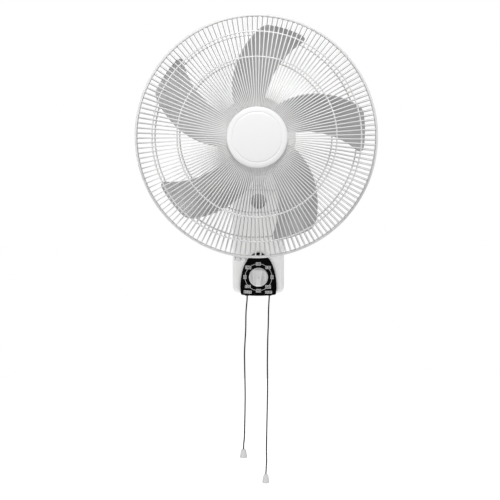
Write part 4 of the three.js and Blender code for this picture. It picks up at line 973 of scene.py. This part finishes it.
# ---------------------------------------------------------------- lights, floor and view
# Soft studio light on a white ground: a large lamp above and in front, two weak ones low on the left and the
# right, and a pale floor far below the fan.
AIM = Vector((0, -0.15, 0.1))
LAMPS = [  # place, size, power in watts
    ((0.1, -2.0, 2.7), 1.2, 77),
    ((-1.7, -2.4, -0.1), 1.2, 14),
    ((1.6, -2.6, -0.3), 1.5, 3.5),
]
for i, (place, size, power) in enumerate(LAMPS):
    lamp_data = bpy.data.lights.new(f"lamp_{i}", "AREA")
    lamp_data.size, lamp_data.energy = size, power
    lamp = bpy.data.objects.new(f"lamp_{i}", lamp_data)
    lamp.location = place
    lamp.rotation_euler = (Vector(place) - AIM).to_track_quat("Z", "Y").to_euler()
    bpy.context.scene.collection.objects.link(lamp)

world = bpy.data.worlds.new("studio")
world.use_nodes = True
bpy.context.scene.world = world
background = world.node_tree.nodes["Background"]
background.inputs["Color"].default_value = (1, 1, 1, 1)
seen = add_node(world, "ShaderNodeLightPath")
bright = add_node(world, "ShaderNodeMath", {"operation": "MAXIMUM"},
                  {0: seen.outputs["Is Camera Ray"], 1: seen.outputs["Is Glossy Ray"]})
bright = add_node(world, "ShaderNodeMath", {"operation": "MAXIMUM"},
                  {0: bright.outputs[0], 1: seen.outputs["Is Transmission Ray"]})
way = add_node(world, "ShaderNodeTexCoord").outputs["Generated"]
depth = add_node(world, "ShaderNodeSeparateXYZ", {}, {0: way}).outputs["Y"]
level = add_node(world, "ShaderNodeMapRange", {1: -0.3, 2: 0.4, 3: 0.37, 4: 0.95}, {"Value": depth})
strength = add_node(
    world, "ShaderNodeMapRange", {4: 1.0}, {"Value": bright.outputs[0], 3: level.outputs["Result"]})
world.node_tree.links.new(strength.outputs["Result"], background.inputs["Strength"])

FLOOR_Z = -1.6
bpy.ops.mesh.primitive_plane_add(size=14, location=(0, 0, FLOOR_Z))
floor = bpy.context.object
floor.name = "floor"
floor_finish, floor_shader, _ = new_finish("pale_floor", "#f8f8f8", 0.8)
tree = floor_finish.node_tree
rays = add_node(floor_finish, "ShaderNodeLightPath")
share = add_node(floor_finish, "ShaderNodeMath", {"operation": "MULTIPLY", 1: 0.5},
                 {0: rays.outputs["Is Camera Ray"]})
lit = add_node(floor_finish, "ShaderNodeEmission", {"Color": (1, 1, 1, 1)}, {"Strength": share.outputs[0]})
mixed = add_node(floor_finish, "ShaderNodeAddShader", links={0: floor_shader.outputs[0], 1: lit.outputs[0]})
tree.links.new(mixed.outputs[0], tree.nodes["Material Output"].inputs["Surface"])
floor.data.materials.append(floor_finish)

bpy.context.scene.view_settings.view_transform = "Standard"
